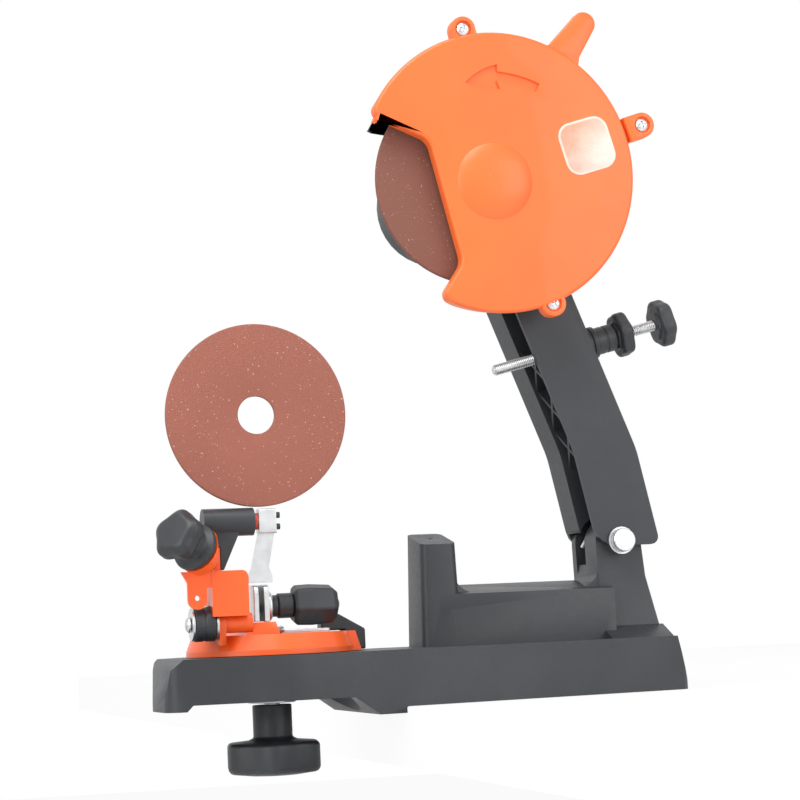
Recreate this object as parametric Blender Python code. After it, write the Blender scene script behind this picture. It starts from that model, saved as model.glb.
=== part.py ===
"""Electric bench sharpener for saw chains, modelled piece by piece.

Metres, +Z up. The origin lies on the bench plane, under the cross rib behind
the bench lip. -X is the vise end, +X the tower end, and the grinding disc and
the arm's pivot turn about axes along Y. The open side of the guard faces -Y.
"""
import math

import bmesh
import bpy
import numpy as np
from mathutils import Matrix, Vector

for old in list(bpy.data.objects):
    bpy.data.objects.remove(old, do_unlink=True)

MM = 0.001

# Clearances and cutting
GAP = 0.3 * MM                  # between faces that touch on the real object
CUT = 2.0 * MM                  # how far every cutter runs past its face
MERGE = 0.002 * MM              # points closer than this are one

# Facets round a circle, by its size
RIM_STEPS = 52                  # discs, guard and turntable
BODY_STEPS = 36                 # motor housing and the arm's head
SEAT_STEPS = 32                 # seats that a bearing or the pivot pin fills
PIN_STEPS = 20                  # bushes, washers, screws and their bores

# Crown of a domed screw head, as shares of its radius and thickness
HEAD_CROWN_SHARE = 0.75
HEAD_EDGE_SHARE = 0.30
HEAD_FLAT_SHARE = 0.60

# Grinding disc and its clamp
DISC_R = 54.0 * MM
DISC_T = 3.2 * MM
DISC_BORE_R = 11.5 * MM
FLANGE_R = 17.0 * MM
FLANGE_T = 3.2 * MM
SPINDLE_R = 5.0 * MM
NUT_R = 8.5 * MM
NUT_T = 6.0 * MM

# Pivot and arm
PIVOT_X = 124.8 * MM
PIVOT_Z = 79.0 * MM
PIN_R = 6.0 * MM
PIN_NEAR_Y = 4.5 * MM
PIN_FAR_Y = 62.5 * MM
CLIP_T = 1.2 * MM
REACH_X = -73.8 * MM            # from the pivot to the disc axis
REACH_Z = 188.6 * MM
ARM_NEAR_Y = 11.0 * MM
HEAD_STEP = 0.7 * MM            # the motor head stands this proud of the arm's faces
ARM_FAR_Y = 58.0 * MM
ARM_PLATE_T = 3.0 * MM
ARM_WEB_T = 3.2 * MM
ARM_RIB_T = 2.0 * MM
ARM_HALF_W = 17.2 * MM
ARM_BOX_Y = 35.0 * MM           # where the closed far box begins
ARM_HEEL = 4.2 * MM             # the plate's middle lies this far behind the pivot
ARM_LOW_LEN = 49.0 * MM
ARM_LOW_TILT = math.radians(12.0)
ARM_HIGH_TILT = math.radians(21.0)
ARM_FOOT_DROP = 2.6 * MM
ARM_CORNER_R = 4.0 * MM
ARM_HEEL_R = 12.0 * MM
ARM_BEND_R = 52.0 * MM
ARM_EAR_GAP = 2.5 * MM          # the closed box ends this far above the tower's ears
ARM_RIB_CELLS = 3
ARM_RIB_PITCH_SHARE = 0.95      # height of a cell over the gap that the ribs cross
ARM_RIB_DROP = 4.0 * MM         # the lowest cell starts this far below the bend
ARM_RIB_INSET = 3.0 * MM
ARM_BOSS_LEN = 12.0 * MM

# Motor, seen only as its housing
MOTOR_HEAD_R = 32.0 * MM
MOTOR_WALL = 3.0 * MM
HEAD_FRONT_T = 9.0 * MM
COVER_LEN = 30.0 * MM
COVER_BACK_T = 3.5 * MM
VENT_W = 3.0 * MM
VENT_LEN = 8.0 * MM
VENT_PITCH = 7.2 * MM
VENT_SHARE = 0.62               # of the housing's radius, where the slots lie
VENT_COUNT = 5
BEARING_R = 11.0 * MM
BEARING_W = 7.0 * MM
STATOR_WALL = 9.0 * MM
STATOR_LEN = 28.0 * MM
AIR_GAP = 0.6 * MM
ROTOR_LEN = 30.0 * MM
COVER_ROUND = 5.0 * MM
SWITCH_HALF_W = 6.5 * MM
SWITCH_HALF_L = 10.5 * MM
SWITCH_RIM = 1.5 * MM
SWITCH_PAD = 2.0 * MM
SWITCH_DEEP = 9.0 * MM
ROCKER_RISE = 2.4 * MM          # the raised end of the rocker
ROCKER_LOW_SHARE = 0.96         # of its half length, where the pressed end stops
ROCKER_FOOT_SHARE = 0.80
GLAND_R = 5.0 * MM
GLAND_LEN = 7.0 * MM
GLAND_RIM_R = 6.8 * MM
GLAND_TIP_R = 6.0 * MM
GLAND_BORE_R = 3.2 * MM
GLAND_ANGLE = math.radians(-20.0)
SPINDLE_TIP = 2.0 * MM

# Guard and rear shield
GUARD_R = 73.0 * MM
GUARD_DX = 6.3 * MM             # guard centre, from the disc axis
GUARD_DZ = 1.4 * MM
GUARD_FRONT_Y = -22.0 * MM
GUARD_WALL = 3.0 * MM
GUARD_EDGE_R = 3.0 * MM
SHIELD_Y = 6.8 * MM
SHIELD_T = 3.2 * MM
SHIELD_SHOW = 0.8 * MM          # the shield's edge shows this far past the guard's
EAR_R = 6.6 * MM
EAR_PITCH_R = 75.5 * MM
EAR_T = 10.0 * MM
EAR_ANGLES = (math.radians(102.0), math.radians(19.0), math.radians(-68.0))
SCREW_R = 1.9 * MM
SCREW_HEAD_R = 3.3 * MM
SCREW_HEAD_T = 2.2 * MM
SCREW_LEN = 11.0 * MM
TAB_R = 6.2 * MM
TAB_REACH = 100.0 * MM
TAB_HALF_ROOT = 11.0 * MM
TAB_ANGLE = math.radians(57.5)
TAB_T = 7.0 * MM
NOTCH_CORNER_R = 9.0 * MM
# Corners of the opening that bares the disc, as shares of the guard's radius from its centre
NOTCH_SHARES = ((-1.30, 0.62), (-0.862, 0.385), (-0.50, 0.225),
                (-0.295, -0.640), (-0.472, -0.895), (-1.30, -0.98))
NOTCH_WALL_Y = -5.0 * MM        # the wall round that opening reaches back to here

# Depth stop screw through the arm
STOP_X = 63.0 * MM              # its tip
STOP_Z = 171.0 * MM
STOP_Y = 24.0 * MM
STOP_TILT = math.radians(14.2)
STOP_R = 3.0 * MM
STOP_TRAVEL = 15.0 * MM         # free thread between lock wheel and end wheel
STOP_SEAT = 56.0 * MM           # from the tip to the sleeve's flange
SLEEVE_R = 7.3 * MM
SLEEVE_LEN = 11.0 * MM
SLEEVE_FLANGE_R = 8.6 * MM
SLEEVE_FLANGE_T = 3.0 * MM
SLEEVE_TAIL_R = 4.8 * MM
SLEEVE_TAIL_LEN = 7.0 * MM
LOCK_WHEEL_R = 12.2 * MM
LOCK_WHEEL_T = 9.0 * MM
END_WHEEL_R = 12.6 * MM
END_WHEEL_T = 10.0 * MM
WHEEL_LOBE = 1.1 * MM
STOP_LEN = STOP_SEAT + SLEEVE_FLANGE_T + SLEEVE_LEN + LOCK_WHEEL_T + STOP_TRAVEL + END_WHEEL_T

# Base
BASE_DECK_Z = 28.0 * MM
BASE_WALL = 3.5 * MM
BASE_END_X = 156.0 * MM
BASE_END_DRAFT = 7.0 * MM
BASE_NEAR_Y = 0.0 * MM          # near wall at the tower end
BASE_FAR_Y = 62.0 * MM
BASE_FRONT_LIFT = 6.0 * MM      # underside of the overhanging front
PLATFORM_RIM = 6.2 * MM         # the deck shows this wide round the turntable
FRONT_X = -130.0 * MM           # the front wall at its foot
FRONT_Z = 3.0 * MM
FRONT_FOOT = 11.0 * MM          # how far back the front wall's lower foot reaches
FRONT_DRAFT = 4.0 * MM
FRONT_BEVEL = 6.0 * MM          # slope from the front wall back to the deck
FRONT_BEVEL_Z = 23.0 * MM
FRONT_NEAR_IN = 1.5 * MM        # the front wall's near end lies this far back
FRONT_BOW_Y = -12.0 * MM
FRONT_FAR_IN = 8.0 * MM
FRONT_FAR_Y = 28.0 * MM
FRONT_TAIL_IN = 28.0 * MM
FRONT_CORNER_R = 9.0 * MM
FRONT_BOW_R = 40.0 * MM
LIP_X = -7.0 * MM               # the bench's edge meets the lip here
LIP_LEN = 15.0 * MM
LIP_DROP = 3.2 * MM
LIP_RAMP = 13.0 * MM
RIB_X = 10.0 * MM               # rear face of the cross rib over the origin
RIB_T = 6.0 * MM
BENCH_HOLE_R = 3.3 * MM
BENCH_BOSS_R = 7.5 * MM
BENCH_HOLE_INSET = 11.0 * MM
BENCH_REAR_X = 100.0 * MM
PLAN_CORNER_R = 9.0 * MM

# Tower, saddle and stop post
EAR_NEAR_Y = 15.4 * MM
EAR_NEAR_T = 18.0 * MM
EAR_FAR_T = 6.0 * MM
EAR_HEAD_R = 12.5 * MM
TOWER_FRONT_X = 113.6 * MM
TOWER_BACK_X = 147.5 * MM
TOWER_WAIST_X = 139.0 * MM
TOWER_WAIST_Z = 60.0 * MM
TOWER_SKIRT_Z = 34.5 * MM
TOWER_WEB_T = 5.0 * MM
SADDLE_NEAR_Y = 10.0 * MM
SADDLE_FAR_Y = 46.0 * MM
SADDLE_Z = 54.5 * MM
SADDLE_FALL = math.radians(8.0)  # its top falls towards the near side
SADDLE_FILLET = 13.0 * MM
POST_X = 16.0 * MM
POST_W = 18.5 * MM
POST_NEAR_Y = 11.0 * MM
POST_DEPTH = 30.0 * MM
POST_Z = 80.5 * MM
POST_CORNER_R = 4.0 * MM
POST_DRAFT = 1.5 * MM
POST_FALL = math.radians(12.0)
DIMPLE_R = 3.2 * MM
DIMPLE_DEPTH = 1.6 * MM

# Turntable and its lock
TABLE_X = -68.0 * MM
TABLE_R = 41.8 * MM
PLATFORM_R = TABLE_R + PLATFORM_RIM
TABLE_T = 10.0 * MM
TABLE_RIM = 3.0 * MM            # draft of the table's side
TABLE_LUG = 3.4 * MM
TABLE_LUG_HALF_W = 9.0 * MM
GRIP_Y = 15.0 * MM              # black grip hooked over the table's rim
GRIP_W = 10.0 * MM
GRIP_OUT = 11.0 * MM
GRIP_IN = 12.0 * MM
GRIP_RISE = 8.5 * MM
GRIP_T = 4.5 * MM
PEDESTAL_HALF_W = 6.6 * MM
STUD_R = 4.0 * MM
SHANK_R = 9.8 * MM
KNOB_R = 24.6 * MM
KNOB_T = 17.0 * MM
KNOB_LOBE = 2.2 * MM
KNOB_CHAMFER = 2.0 * MM
KNOB_TOP_Z = -14.5 * MM
WASHER_R = 12.0 * MM
WASHER_T = 1.6 * MM
SHANK_GAP = 0.4 * MM

# Chain vise
JAW_T = 2.5 * MM
JAW_GAP = 2.6 * MM              # width of the groove that the chain rides in
JAW_LEN = 62.0 * MM
JAW_Y = -3.0 * MM               # middle of the jaws' length
JAW_OUT = 10.1 * MM             # from the turntable's axis to the middle of the groove
JAW_X = TABLE_X - JAW_OUT
JAW_LOW_Z = 44.6 * MM
JAW_HIGH_Z = 62.5 * MM
JAW_CORNER_R = 4.0 * MM
CLAMP_Y = -12.0 * MM
CLAMP_Z = 52.0 * MM
CLAMP_R = 3.0 * MM
CLAMP_NUT_R = 7.6 * MM
CLAMP_NUT_T = 5.0 * MM
COLLAR_R = 5.4 * MM
COLLAR_LEN = 2.5 * MM
CLAMP_SLEEVE_R = 6.2 * MM
CLAMP_SLEEVE_LEN = 7.5 * MM
HEX_R = 9.3 * MM
HEX_TAPER = 1.4 * MM
HEX_LEN = 22.0 * MM
HEX_SHOULDER = 4.4 * MM
HEX_STEP = 1.8 * MM
CLAMP_TIP_LEN = 1.6 * MM
PLATE_T = 1.6 * MM
PLATE_W = 24.0 * MM
PLATE_LEN = 24.0 * MM
PLATE_OUT = 12.1 * MM           # from the groove to the support plate
PLATE_X0 = JAW_X + PLATE_OUT
PLATE_X1 = PLATE_X0 + PLATE_LEN
PLATE_SCREW_R = 2.2 * MM
PLATE_SCREW_T = 1.6 * MM
PLATE_SCREW_LEN = 5.0 * MM

# Chain stop
HINGE_IN = 9.8 * MM             # how far inside the turntable's rim the hinge runs
HINGE_Y = HINGE_IN - TABLE_R
HINGE_Z = 44.4 * MM
BOLT_R = 2.5 * MM
BOLT_HEAD_R = 3.8 * MM
BOLT_HEAD_T = 2.6 * MM
BUSH_OUT = 1.9 * MM             # the bush starts this far outside the turntable's rim
BUSH_X = TABLE_X - TABLE_R - BUSH_OUT
BUSH_LEN = 9.9 * MM
BUSH_R = 8.4 * MM
HINGE_WASHER_R = 8.0 * MM
HINGE_WASHER_T = 1.2 * MM
BARREL_R = 4.8 * MM
BARREL_SHORT = 5.1 * MM         # the barrel ends this far short of the groove
BARREL_X1 = JAW_X - BARREL_SHORT
COLLAR_LUG_R = 6.0 * MM
COLLAR_LUG_T = 3.4 * MM
STRUT_FRONT = 4.2 * MM          # the lug's strut reaches this far each way from the bolt
STRUT_BACK = 9.6 * MM
STRUT_HALF_TOP = 5.4 * MM
STRUT_DROP = 4.5 * MM
BLOCK_IN = 7.9 * MM             # the block starts this far past the bush's outer face
BLOCK_SHORT = 7.8 * MM
BLOCK_X0 = BUSH_X + BLOCK_IN
BLOCK_X1 = JAW_X - BLOCK_SHORT
BLOCK_Z0 = 47.8 * MM
BLOCK_Z1 = 69.8 * MM
BLOCK_DEPTH = 20.0 * MM
BLOCK_CORNER_R = 3.0 * MM
EAR_PLATE_T = 3.0 * MM
EAR_PLATE_OUT = 3.9 * MM
EAR_PLATE_X0 = BUSH_X - EAR_PLATE_OUT
EAR_PLATE_W = 9.2 * MM
EAR_PLATE_SLOPE = 5.5 * MM
EAR_PLATE_SHARE = 0.36          # of the block's height, along which the ear plate joins it
EAR_PLATE_Z0 = 51.5 * MM
SPRING_HOLE_R = 1.3 * MM
SPRING_HOLE_RISE = 5.5 * MM
STOP_ARM_R = 6.8 * MM
STOP_ARM_IN = 5.9 * MM
STOP_ARM_SHORT = 2.5 * MM
STOP_ARM_X0 = BUSH_X + STOP_ARM_IN
STOP_ARM_X1 = JAW_X - STOP_ARM_SHORT
STOP_ARM_Z = 93.4 * MM
STOP_ARM_FOOT_Z = 70.2 * MM
STOP_ARM_WEB_T = 9.0 * MM
STOP_WEB_FOOT = 1.5 * MM
STOP_WEB_END = 7.8 * MM         # the web stops this far short of the barrel's end
STOP_WEB_UNDER = 5.4 * MM       # its three upper corners, below the barrel's axis
STOP_WEB_BACK = 2.7 * MM
STOP_WEB_KNEE = 8.8 * MM
STAR_R = 12.6 * MM
STAR_T = 9.0 * MM
STAR_LOBE = 1.3 * MM
STAR_CHAMFER = 1.8 * MM
STAR_SKIRT_R = 12.0 * MM
STAR_SKIRT_T = 3.0 * MM
STAR_NECK_R = 7.5 * MM
STAR_NECK_LEN = 9.0 * MM
STAR_STUD_R = 2.5 * MM
STAR_STUD_LEN = 7.0 * MM
STAR_AIM = (-0.664, -0.624, 0.412)
STAR_IN = 1.5 * MM
STAR_OUT = 9.7 * MM
STAR_Z = 80.5 * MM
STAR_ROOT = (BUSH_X + STAR_IN, HINGE_Y - STAR_OUT, STAR_Z)
STAR_BOSS_R = 11.6 * MM
STAR_BOSS_T = 5.0 * MM
STAR_BOSS_TAIL_R = 8.0 * MM
STAR_BOSS_LEN = 10.0 * MM
FIN_IN = 10.3 * MM
FIN_X = BUSH_X + FIN_IN
FIN_T = 3.0 * MM
FIN_Z = 81.0 * MM
PAWL_DEPTH = 8.0 * MM
PAWL_SHOULDER = 5.5 * MM
PAWL_PIN_R = 2.0 * MM
PAWL_PIN_LEN = 12.0 * MM
PAWL_SCREW_PITCH = 5.6 * MM
PAWL_LAP = 0.2 * MM
PAWL_X0 = JAW_X - PAWL_LAP
PAWL_W = 8.6 * MM
PAWL_T = 1.8 * MM
PAWL_FOOT_Z = 63.4 * MM
PAWL_BLOCK_H = 12.0 * MM
PAWL_LEAN = 4.0 * MM
PAWL_SPREAD = 1.6 * MM          # how much wider than the strip its foot is, each side
PAWL_WASHER_R = 4.1 * MM
PAWL_SCREW_R = 1.5 * MM
PAWL_SCREW_L = 2.4 * MM
PAWL_SHANK_R = 0.9 * MM

# Spare disc, on edge on the stop arm's barrel
SPARE_R = 45.0 * MM
SPARE_BORE_R = 9.3 * MM
SPARE_T = 3.2 * MM
SPARE_OUT = 1.0 * MM
SPARE_X = JAW_X + SPARE_OUT

# Return spring round the pivot pin
SPRING_WIRE_R = 1.1 * MM
SPRING_R = 7.4 * MM
SPRING_PITCH = 3.0 * MM
SPRING_TURNS = 3
SPRING_POINTS = 10
SPRING_LEG = 7.0 * MM
SPRING_START = math.radians(150.0)

# Values that follow from the ones above
HEX_SHARE = math.cos(math.pi / 6)  # a hexagon's flat radius over its corner radius
DISC_X = PIVOT_X + REACH_X
DISC_Z = PIVOT_Z + REACH_Z
GUARD_X = DISC_X + GUARD_DX
GUARD_Z = DISC_Z + GUARD_DZ
HEAD_BACK_Y = ARM_FAR_Y + HEAD_STEP
HEAD_FRONT_Y = ARM_NEAR_Y - HEAD_STEP
COVER_Y = HEAD_BACK_Y + GAP
EAR_FAR_Y1 = ARM_FAR_Y - ARM_PLATE_T - GAP
EAR_FAR_Y0 = EAR_FAR_Y1 - EAR_FAR_T
TABLE_Z = BASE_DECK_Z + GAP
TABLE_TOP = TABLE_Z + TABLE_T

BLACK = (0.045, 0.050, 0.056)
ORANGE = (0.93, 0.22, 0.055)
STEEL = (0.72, 0.74, 0.76)
ABRASIVE = (0.32, 0.10, 0.07)


def material(name, colour, roughness, metallic=0.0):
    """A plain Principled material in the piece's own colour."""
    made = bpy.data.materials.get(name)
    if made is None:
        made = bpy.data.materials.new(name)
        made.use_nodes = True
        shader = made.node_tree.nodes["Principled BSDF"]
        shader.inputs["Base Color"].default_value = (*colour, 1.0)
        shader.inputs["Roughness"].default_value = roughness
        shader.inputs["Metallic"].default_value = metallic
    return made


def from_bmesh(name, bm):
    """Close a bmesh into a linked object with its faces pointing out."""
    bmesh.ops.recalc_face_normals(bm, faces=bm.faces)
    mesh = bpy.data.meshes.new(name)
    bm.to_mesh(mesh)
    bm.free()
    made = bpy.data.objects.new(name, mesh)
    bpy.context.scene.collection.objects.link(made)
    return made


def rounded(corners, radii, steps=5):
    """Corner points with each corner replaced by an arc of its own radius."""
    points = []
    count = len(corners)
    for index, radius in enumerate(radii):
        here = Vector(corners[index])
        if radius <= 0:
            points.append(tuple(here))
            continue
        back = (Vector(corners[index - 1]) - here).normalized()
        ahead = (Vector(corners[(index + 1) % count]) - here).normalized()
        half = back.angle(ahead) / 2
        reach = radius / math.tan(half)
        centre = here + (back + ahead).normalized() * (radius / math.sin(half))
        start = here + back * reach - centre
        turn = start.angle_signed(here + ahead * reach - centre)
        for step in range(steps + 1):
            spin = Matrix.Rotation(-turn * step / steps, 2)
            points.append(tuple(centre + spin @ start))
    return points


def circle(x, y, radius, steps=32, start=0.0, sweep=2 * math.pi):
    """Points round a circle, or along an arc of it when sweep is short."""
    whole = abs(sweep) >= 2 * math.pi
    last = steps if whole else steps + 1
    angles = [start + sweep * step / steps for step in range(last)]
    return [(x + radius * math.cos(a), y + radius * math.sin(a)) for a in angles]


def lobed(radius, depth, lobes, steps_each=6):
    """A round outline that swells into lobes and falls by depth between them."""
    count = lobes * steps_each
    angles = [2 * math.pi * step / count for step in range(count)]
    reach = [radius - depth * (1 - math.cos(lobes * a)) / 2 for a in angles]
    return [(r * math.cos(a), r * math.sin(a)) for r, a in zip(reach, angles)]


def prism(name, outline, axis, low, high):
    """An outline carried along X, Y or Z; it is given in the other two, in order."""
    place = {
        "X": lambda p, w: (w, p[0], p[1]),
        "Y": lambda p, w: (p[0], w, p[1]),
        "Z": lambda p, w: (p[0], p[1], w),
    }[axis]
    bm = bmesh.new()
    bottom = [bm.verts.new(place(p, low)) for p in outline]
    top = [bm.verts.new(place(p, high)) for p in outline]
    count = len(outline)
    bm.faces.new(bottom)
    bm.faces.new(top)
    for index in range(count):
        after = (index + 1) % count
        bm.faces.new((bottom[index], bottom[after], top[after], top[index]))
    return from_bmesh(name, bm)


def box(name, low, high):
    """A block between two corners."""
    outline = [(low[0], low[1]), (high[0], low[1]), (high[0], high[1]), (low[0], high[1])]
    return prism(name, outline, "Z", low[2], high[2])


def aimed(centre, direction):
    """The turn and shift that carry +Z at the origin to a direction at a centre."""
    turn = Vector((0, 0, 1)).rotation_difference(Vector(direction)).to_matrix().to_4x4()
    return Matrix.Translation(Vector(centre)) @ turn


def turned(name, profile, centre, direction, steps=32, closed=False):
    """A profile of (radius, height) pairs swept round an axis; closed for a ring."""
    bm = bmesh.new()
    rings = []
    for radius, height in profile:
        if radius <= 0:
            rings.append([bm.verts.new((0, 0, height))])
            continue
        ring = [bm.verts.new((x, y, height)) for x, y in circle(0, 0, radius, steps)]
        rings.append(ring)
    pairs = list(zip(rings, rings[1:]))
    if closed:
        pairs.append((rings[-1], rings[0]))
    for lower, upper in pairs:
        for index in range(steps):
            after = (index + 1) % steps
            corners = [lower[index % len(lower)], lower[after % len(lower)],
                       upper[after % len(upper)], upper[index % len(upper)]]
            face = list(dict.fromkeys(corners))
            if len(face) > 2:
                bm.faces.new(face)
    bm.transform(aimed(centre, direction))
    return from_bmesh(name, bm)


def rod(name, radius, centre, direction, low, high, steps=24):
    """A plain cylinder between two heights along its axis."""
    profile = [(0, low), (radius, low), (radius, high), (0, high)]
    return turned(name, profile, centre, direction, steps)


def tube(name, outer, inner, centre, direction, low, high, steps=32):
    """A plain ring with a bore."""
    profile = [(outer, low), (outer, high), (inner, high), (inner, low)]
    return turned(name, profile, centre, direction, steps, closed=True)


def domed_head(radius, thick, seat):
    """Profile of a domed screw head, from its crown on the axis to its seat."""
    return [(0, seat - thick), (radius * HEAD_CROWN_SHARE, seat - thick * HEAD_CROWN_SHARE),
            (radius, seat - thick * HEAD_EDGE_SHARE), (radius, seat)]


def lobed_knob(name, outline, chamfer, centre, direction, low, high, bore=0.0):
    """A lobed handwheel with both edges chamfered and an optional bore."""
    bm = bmesh.new()
    reach = max(math.hypot(*p) for p in outline)
    inner = (reach - chamfer) / reach
    levels = ((inner, low), (1.0, low + chamfer), (1.0, high - chamfer), (inner, high))
    rings = [[bm.verts.new((p[0] * s, p[1] * s, h)) for p in outline] for s, h in levels]
    count = len(outline)
    for lower, upper in zip(rings, rings[1:]):
        for index in range(count):
            after = (index + 1) % count
            bm.faces.new((lower[index], lower[after], upper[after], upper[index]))
    bm.faces.new(rings[0])
    bm.faces.new(rings[-1])
    bm.transform(aimed(centre, direction))
    made = from_bmesh(name, bm)
    if bore > 0:
        cut(made, rod("bore", bore, centre, direction, low - CUT, high + CUT, PIN_STEPS))
    return made


def merged(mesh):
    """Merge the doubled points that a Boolean leaves."""
    bm = bmesh.new()
    bm.from_mesh(mesh)
    bmesh.ops.remove_doubles(bm, verts=bm.verts, dist=MERGE)
    bmesh.ops.dissolve_degenerate(bm, edges=bm.edges, dist=MERGE)
    bm.to_mesh(mesh)
    bm.free()


def combine(target, others, operation):
    """Join, cut or clip with Boolean solids one by one, keeping plain mesh."""
    for other in others:
        step = target.modifiers.new(operation, "BOOLEAN")
        step.operation = operation
        step.solver = "EXACT"
        step.object = other
        bpy.context.view_layer.update()
        graph = bpy.context.evaluated_depsgraph_get()
        result = bpy.data.meshes.new_from_object(target.evaluated_get(graph))
        target.modifiers.clear()
        merged(result)
        target.data = result
        bpy.data.objects.remove(other, do_unlink=True)
    return target


def join(target, *others):
    """Fuse solids into one."""
    return combine(target, others, "UNION")


def cut(target, *others):
    """Take solids away."""
    return combine(target, others, "DIFFERENCE")


def clip(target, other):
    """Keep what two solids share."""
    return combine(target, (other,), "INTERSECT")


def tidy(made, finish, origin=(0, 0, 0)):
    """Give the piece its finish and set its origin on its axis."""
    merged(made.data)
    made.data.transform(Matrix.Translation(-Vector(origin)))
    made.location = Vector(origin)
    made.data.materials.clear()
    made.data.materials.append(finish)
    made.data.shade_smooth()
    made.data.set_sharp_from_angle(angle=math.radians(35))
    return made


black = material("black_plastic", BLACK, 0.45)
orange = material("orange_plastic", ORANGE, 0.35)
steel = material("zinc_steel", STEEL, 0.28, 1.0)
copper = material("winding_copper", (0.60, 0.28, 0.12), 0.4, 1.0)
core = material("motor_core", (0.35, 0.36, 0.38), 0.4, 1.0)
abrasive = material("abrasive", ABRASIVE, 0.85)
red = material("red_fibre", (0.65, 0.08, 0.06), 0.5)


def along_y(x, z):
    """The point of an axis along Y that passes through X and Z."""
    return (x, 0, z)


PIVOT = along_y(PIVOT_X, PIVOT_Z)
SPIN = along_y(DISC_X, DISC_Z)
TOWARDS_Y = (0, 1, 0)
ALONG_X = (1, 0, 0)
UPWARDS = (0, 0, 1)


def near_lean():
    """How far the near wall swings in, from the round of the turntable to the tower's end."""
    return math.asin(PLATFORM_R / (BASE_END_X - TABLE_X))


def plan_edge(x, inset):
    """Where the near wall runs at an X, set in by the wall."""
    return BASE_NEAR_Y - (BASE_END_X - x) * math.tan(near_lean()) + inset


def base_plan(name, inset, low, high):
    """The base from above: bowed front, near wall running in to the tower."""
    near = inset - PLATFORM_R
    far = BASE_FAR_Y - inset
    end = BASE_END_X - inset
    front = FRONT_X + inset
    bend = BASE_END_X - PLATFORM_R / math.tan(near_lean())
    corners = [
        (front + FRONT_NEAR_IN, near),
        (bend, near),
        (end, plan_edge(end, inset)),
        (end, far),
        (LIP_X, far),
        (front + FRONT_TAIL_IN, -near),
        (front + FRONT_FAR_IN, FRONT_FAR_Y),
        (front, FRONT_BOW_Y),
    ]
    radii = [FRONT_CORNER_R - inset, PLATFORM_R, PLAN_CORNER_R, PLAN_CORNER_R, PLAN_CORNER_R,
             FRONT_CORNER_R, FRONT_CORNER_R, FRONT_BOW_R]
    return prism(name, rounded(corners, radii), "Z", low, high)


def base_side(name):
    """The base from the side: drafted front, raised underside, bench lip, drafted end."""
    lip_front = LIP_X - LIP_LEN
    foot_back = FRONT_X + FRONT_FOOT
    bevel_x = FRONT_X + FRONT_DRAFT
    outline = [
        (FRONT_X, FRONT_Z),
        (foot_back, FRONT_Z),
        (foot_back + FRONT_Z, BASE_FRONT_LIFT),
        (lip_front - LIP_RAMP, BASE_FRONT_LIFT),
        (lip_front, -LIP_DROP),
        (LIP_X, -LIP_DROP),
        (LIP_X, 0),
        (BASE_END_X, 0),
        (BASE_END_X - BASE_END_DRAFT, BASE_DECK_Z),
        (bevel_x + FRONT_BEVEL, BASE_DECK_Z),
        (bevel_x, FRONT_BEVEL_Z),
    ]
    return prism(name, outline, "Y", -PLATFORM_R - CUT, BASE_FAR_Y + CUT)


def corner_pocket(floor):
    """The hollow round the turntable's ring wall, in the two front corners."""
    start = FRONT_X + FRONT_DRAFT + FRONT_BEVEL
    roof = FRONT_BEVEL_Z - BASE_WALL
    half_chord = math.sqrt(PLATFORM_R ** 2 - (PLATFORM_R - BASE_WALL) ** 2)
    pocket = clip(
        base_plan("corner_pocket", BASE_WALL, floor, roof),
        box("corner_span", (start, -PLATFORM_R, floor - CUT), (TABLE_X - half_chord, PLATFORM_R, roof + CUT)),
    )
    wall = rod("ring_wall", PLATFORM_R, (TABLE_X, 0, 0), UPWARDS, floor - CUT, BASE_DECK_Z, RIM_STEPS)
    return cut(pocket, wall)


def bench_hole_spots():
    """Centres of the four bench screw holes, clear of the walls above the deck."""
    rib_x = (LIP_X + RIB_X) / 2
    far = BASE_FAR_Y - BENCH_HOLE_INSET
    return [
        (rib_x, plan_edge(rib_x, BENCH_HOLE_INSET)),
        (rib_x, far),
        (BENCH_REAR_X, plan_edge(BENCH_REAR_X, BENCH_HOLE_INSET)),
        (BENCH_REAR_X, BASE_FAR_Y - BENCH_BOSS_R),
    ]


def bed():
    """The hollow bed: plan and side outlines shared, pockets cut from below."""
    made = clip(base_plan("bed", 0, -LIP_DROP - CUT, BASE_DECK_Z), base_side("side"))
    roof = BASE_DECK_Z - BASE_WALL
    floor = -LIP_DROP - CUT
    boss = SHANK_R + BASE_WALL
    ring = tube("ring", PLATFORM_R - BASE_WALL, boss, (TABLE_X, 0, 0), UPWARDS, floor, roof, BODY_STEPS)
    middle = (RIB_X + BASE_END_X) / 2
    front_pocket = clip(
        base_plan("front_pocket", BASE_WALL, floor, roof),
        box("front_span", (RIB_X, -PLATFORM_R, floor - CUT), (middle - RIB_T / 2, BASE_FAR_Y, roof + CUT)),
    )
    rear_pocket = clip(
        base_plan("rear_pocket", BASE_WALL + BASE_END_DRAFT, floor, roof),
        box("rear_span", (middle + RIB_T / 2, -PLATFORM_R, floor - CUT),
            (BASE_END_X, BASE_FAR_Y, roof + CUT)),
    )
    cut(made, ring, corner_pocket(floor), front_pocket, rear_pocket)
    for x, y in bench_hole_spots()[2:]:
        join(made, rod("boss", BENCH_BOSS_R, (x, y, 0), UPWARDS, 0, roof + GAP * 3, PIN_STEPS))
    return made


def tower_ear(name, y_low, y_high):
    """One ear: a round head about the pivot on a leg that widens downwards."""
    foot = BASE_DECK_Z - BASE_WALL / 2
    outline = circle(PIVOT_X, PIVOT_Z, EAR_HEAD_R, 16, 0, math.pi)
    outline += [
        (TOWER_FRONT_X, foot),
        (TOWER_BACK_X, foot),
        (TOWER_WAIST_X, TOWER_WAIST_Z),
    ]
    return prism(name, outline, "Y", y_low, y_high)


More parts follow.
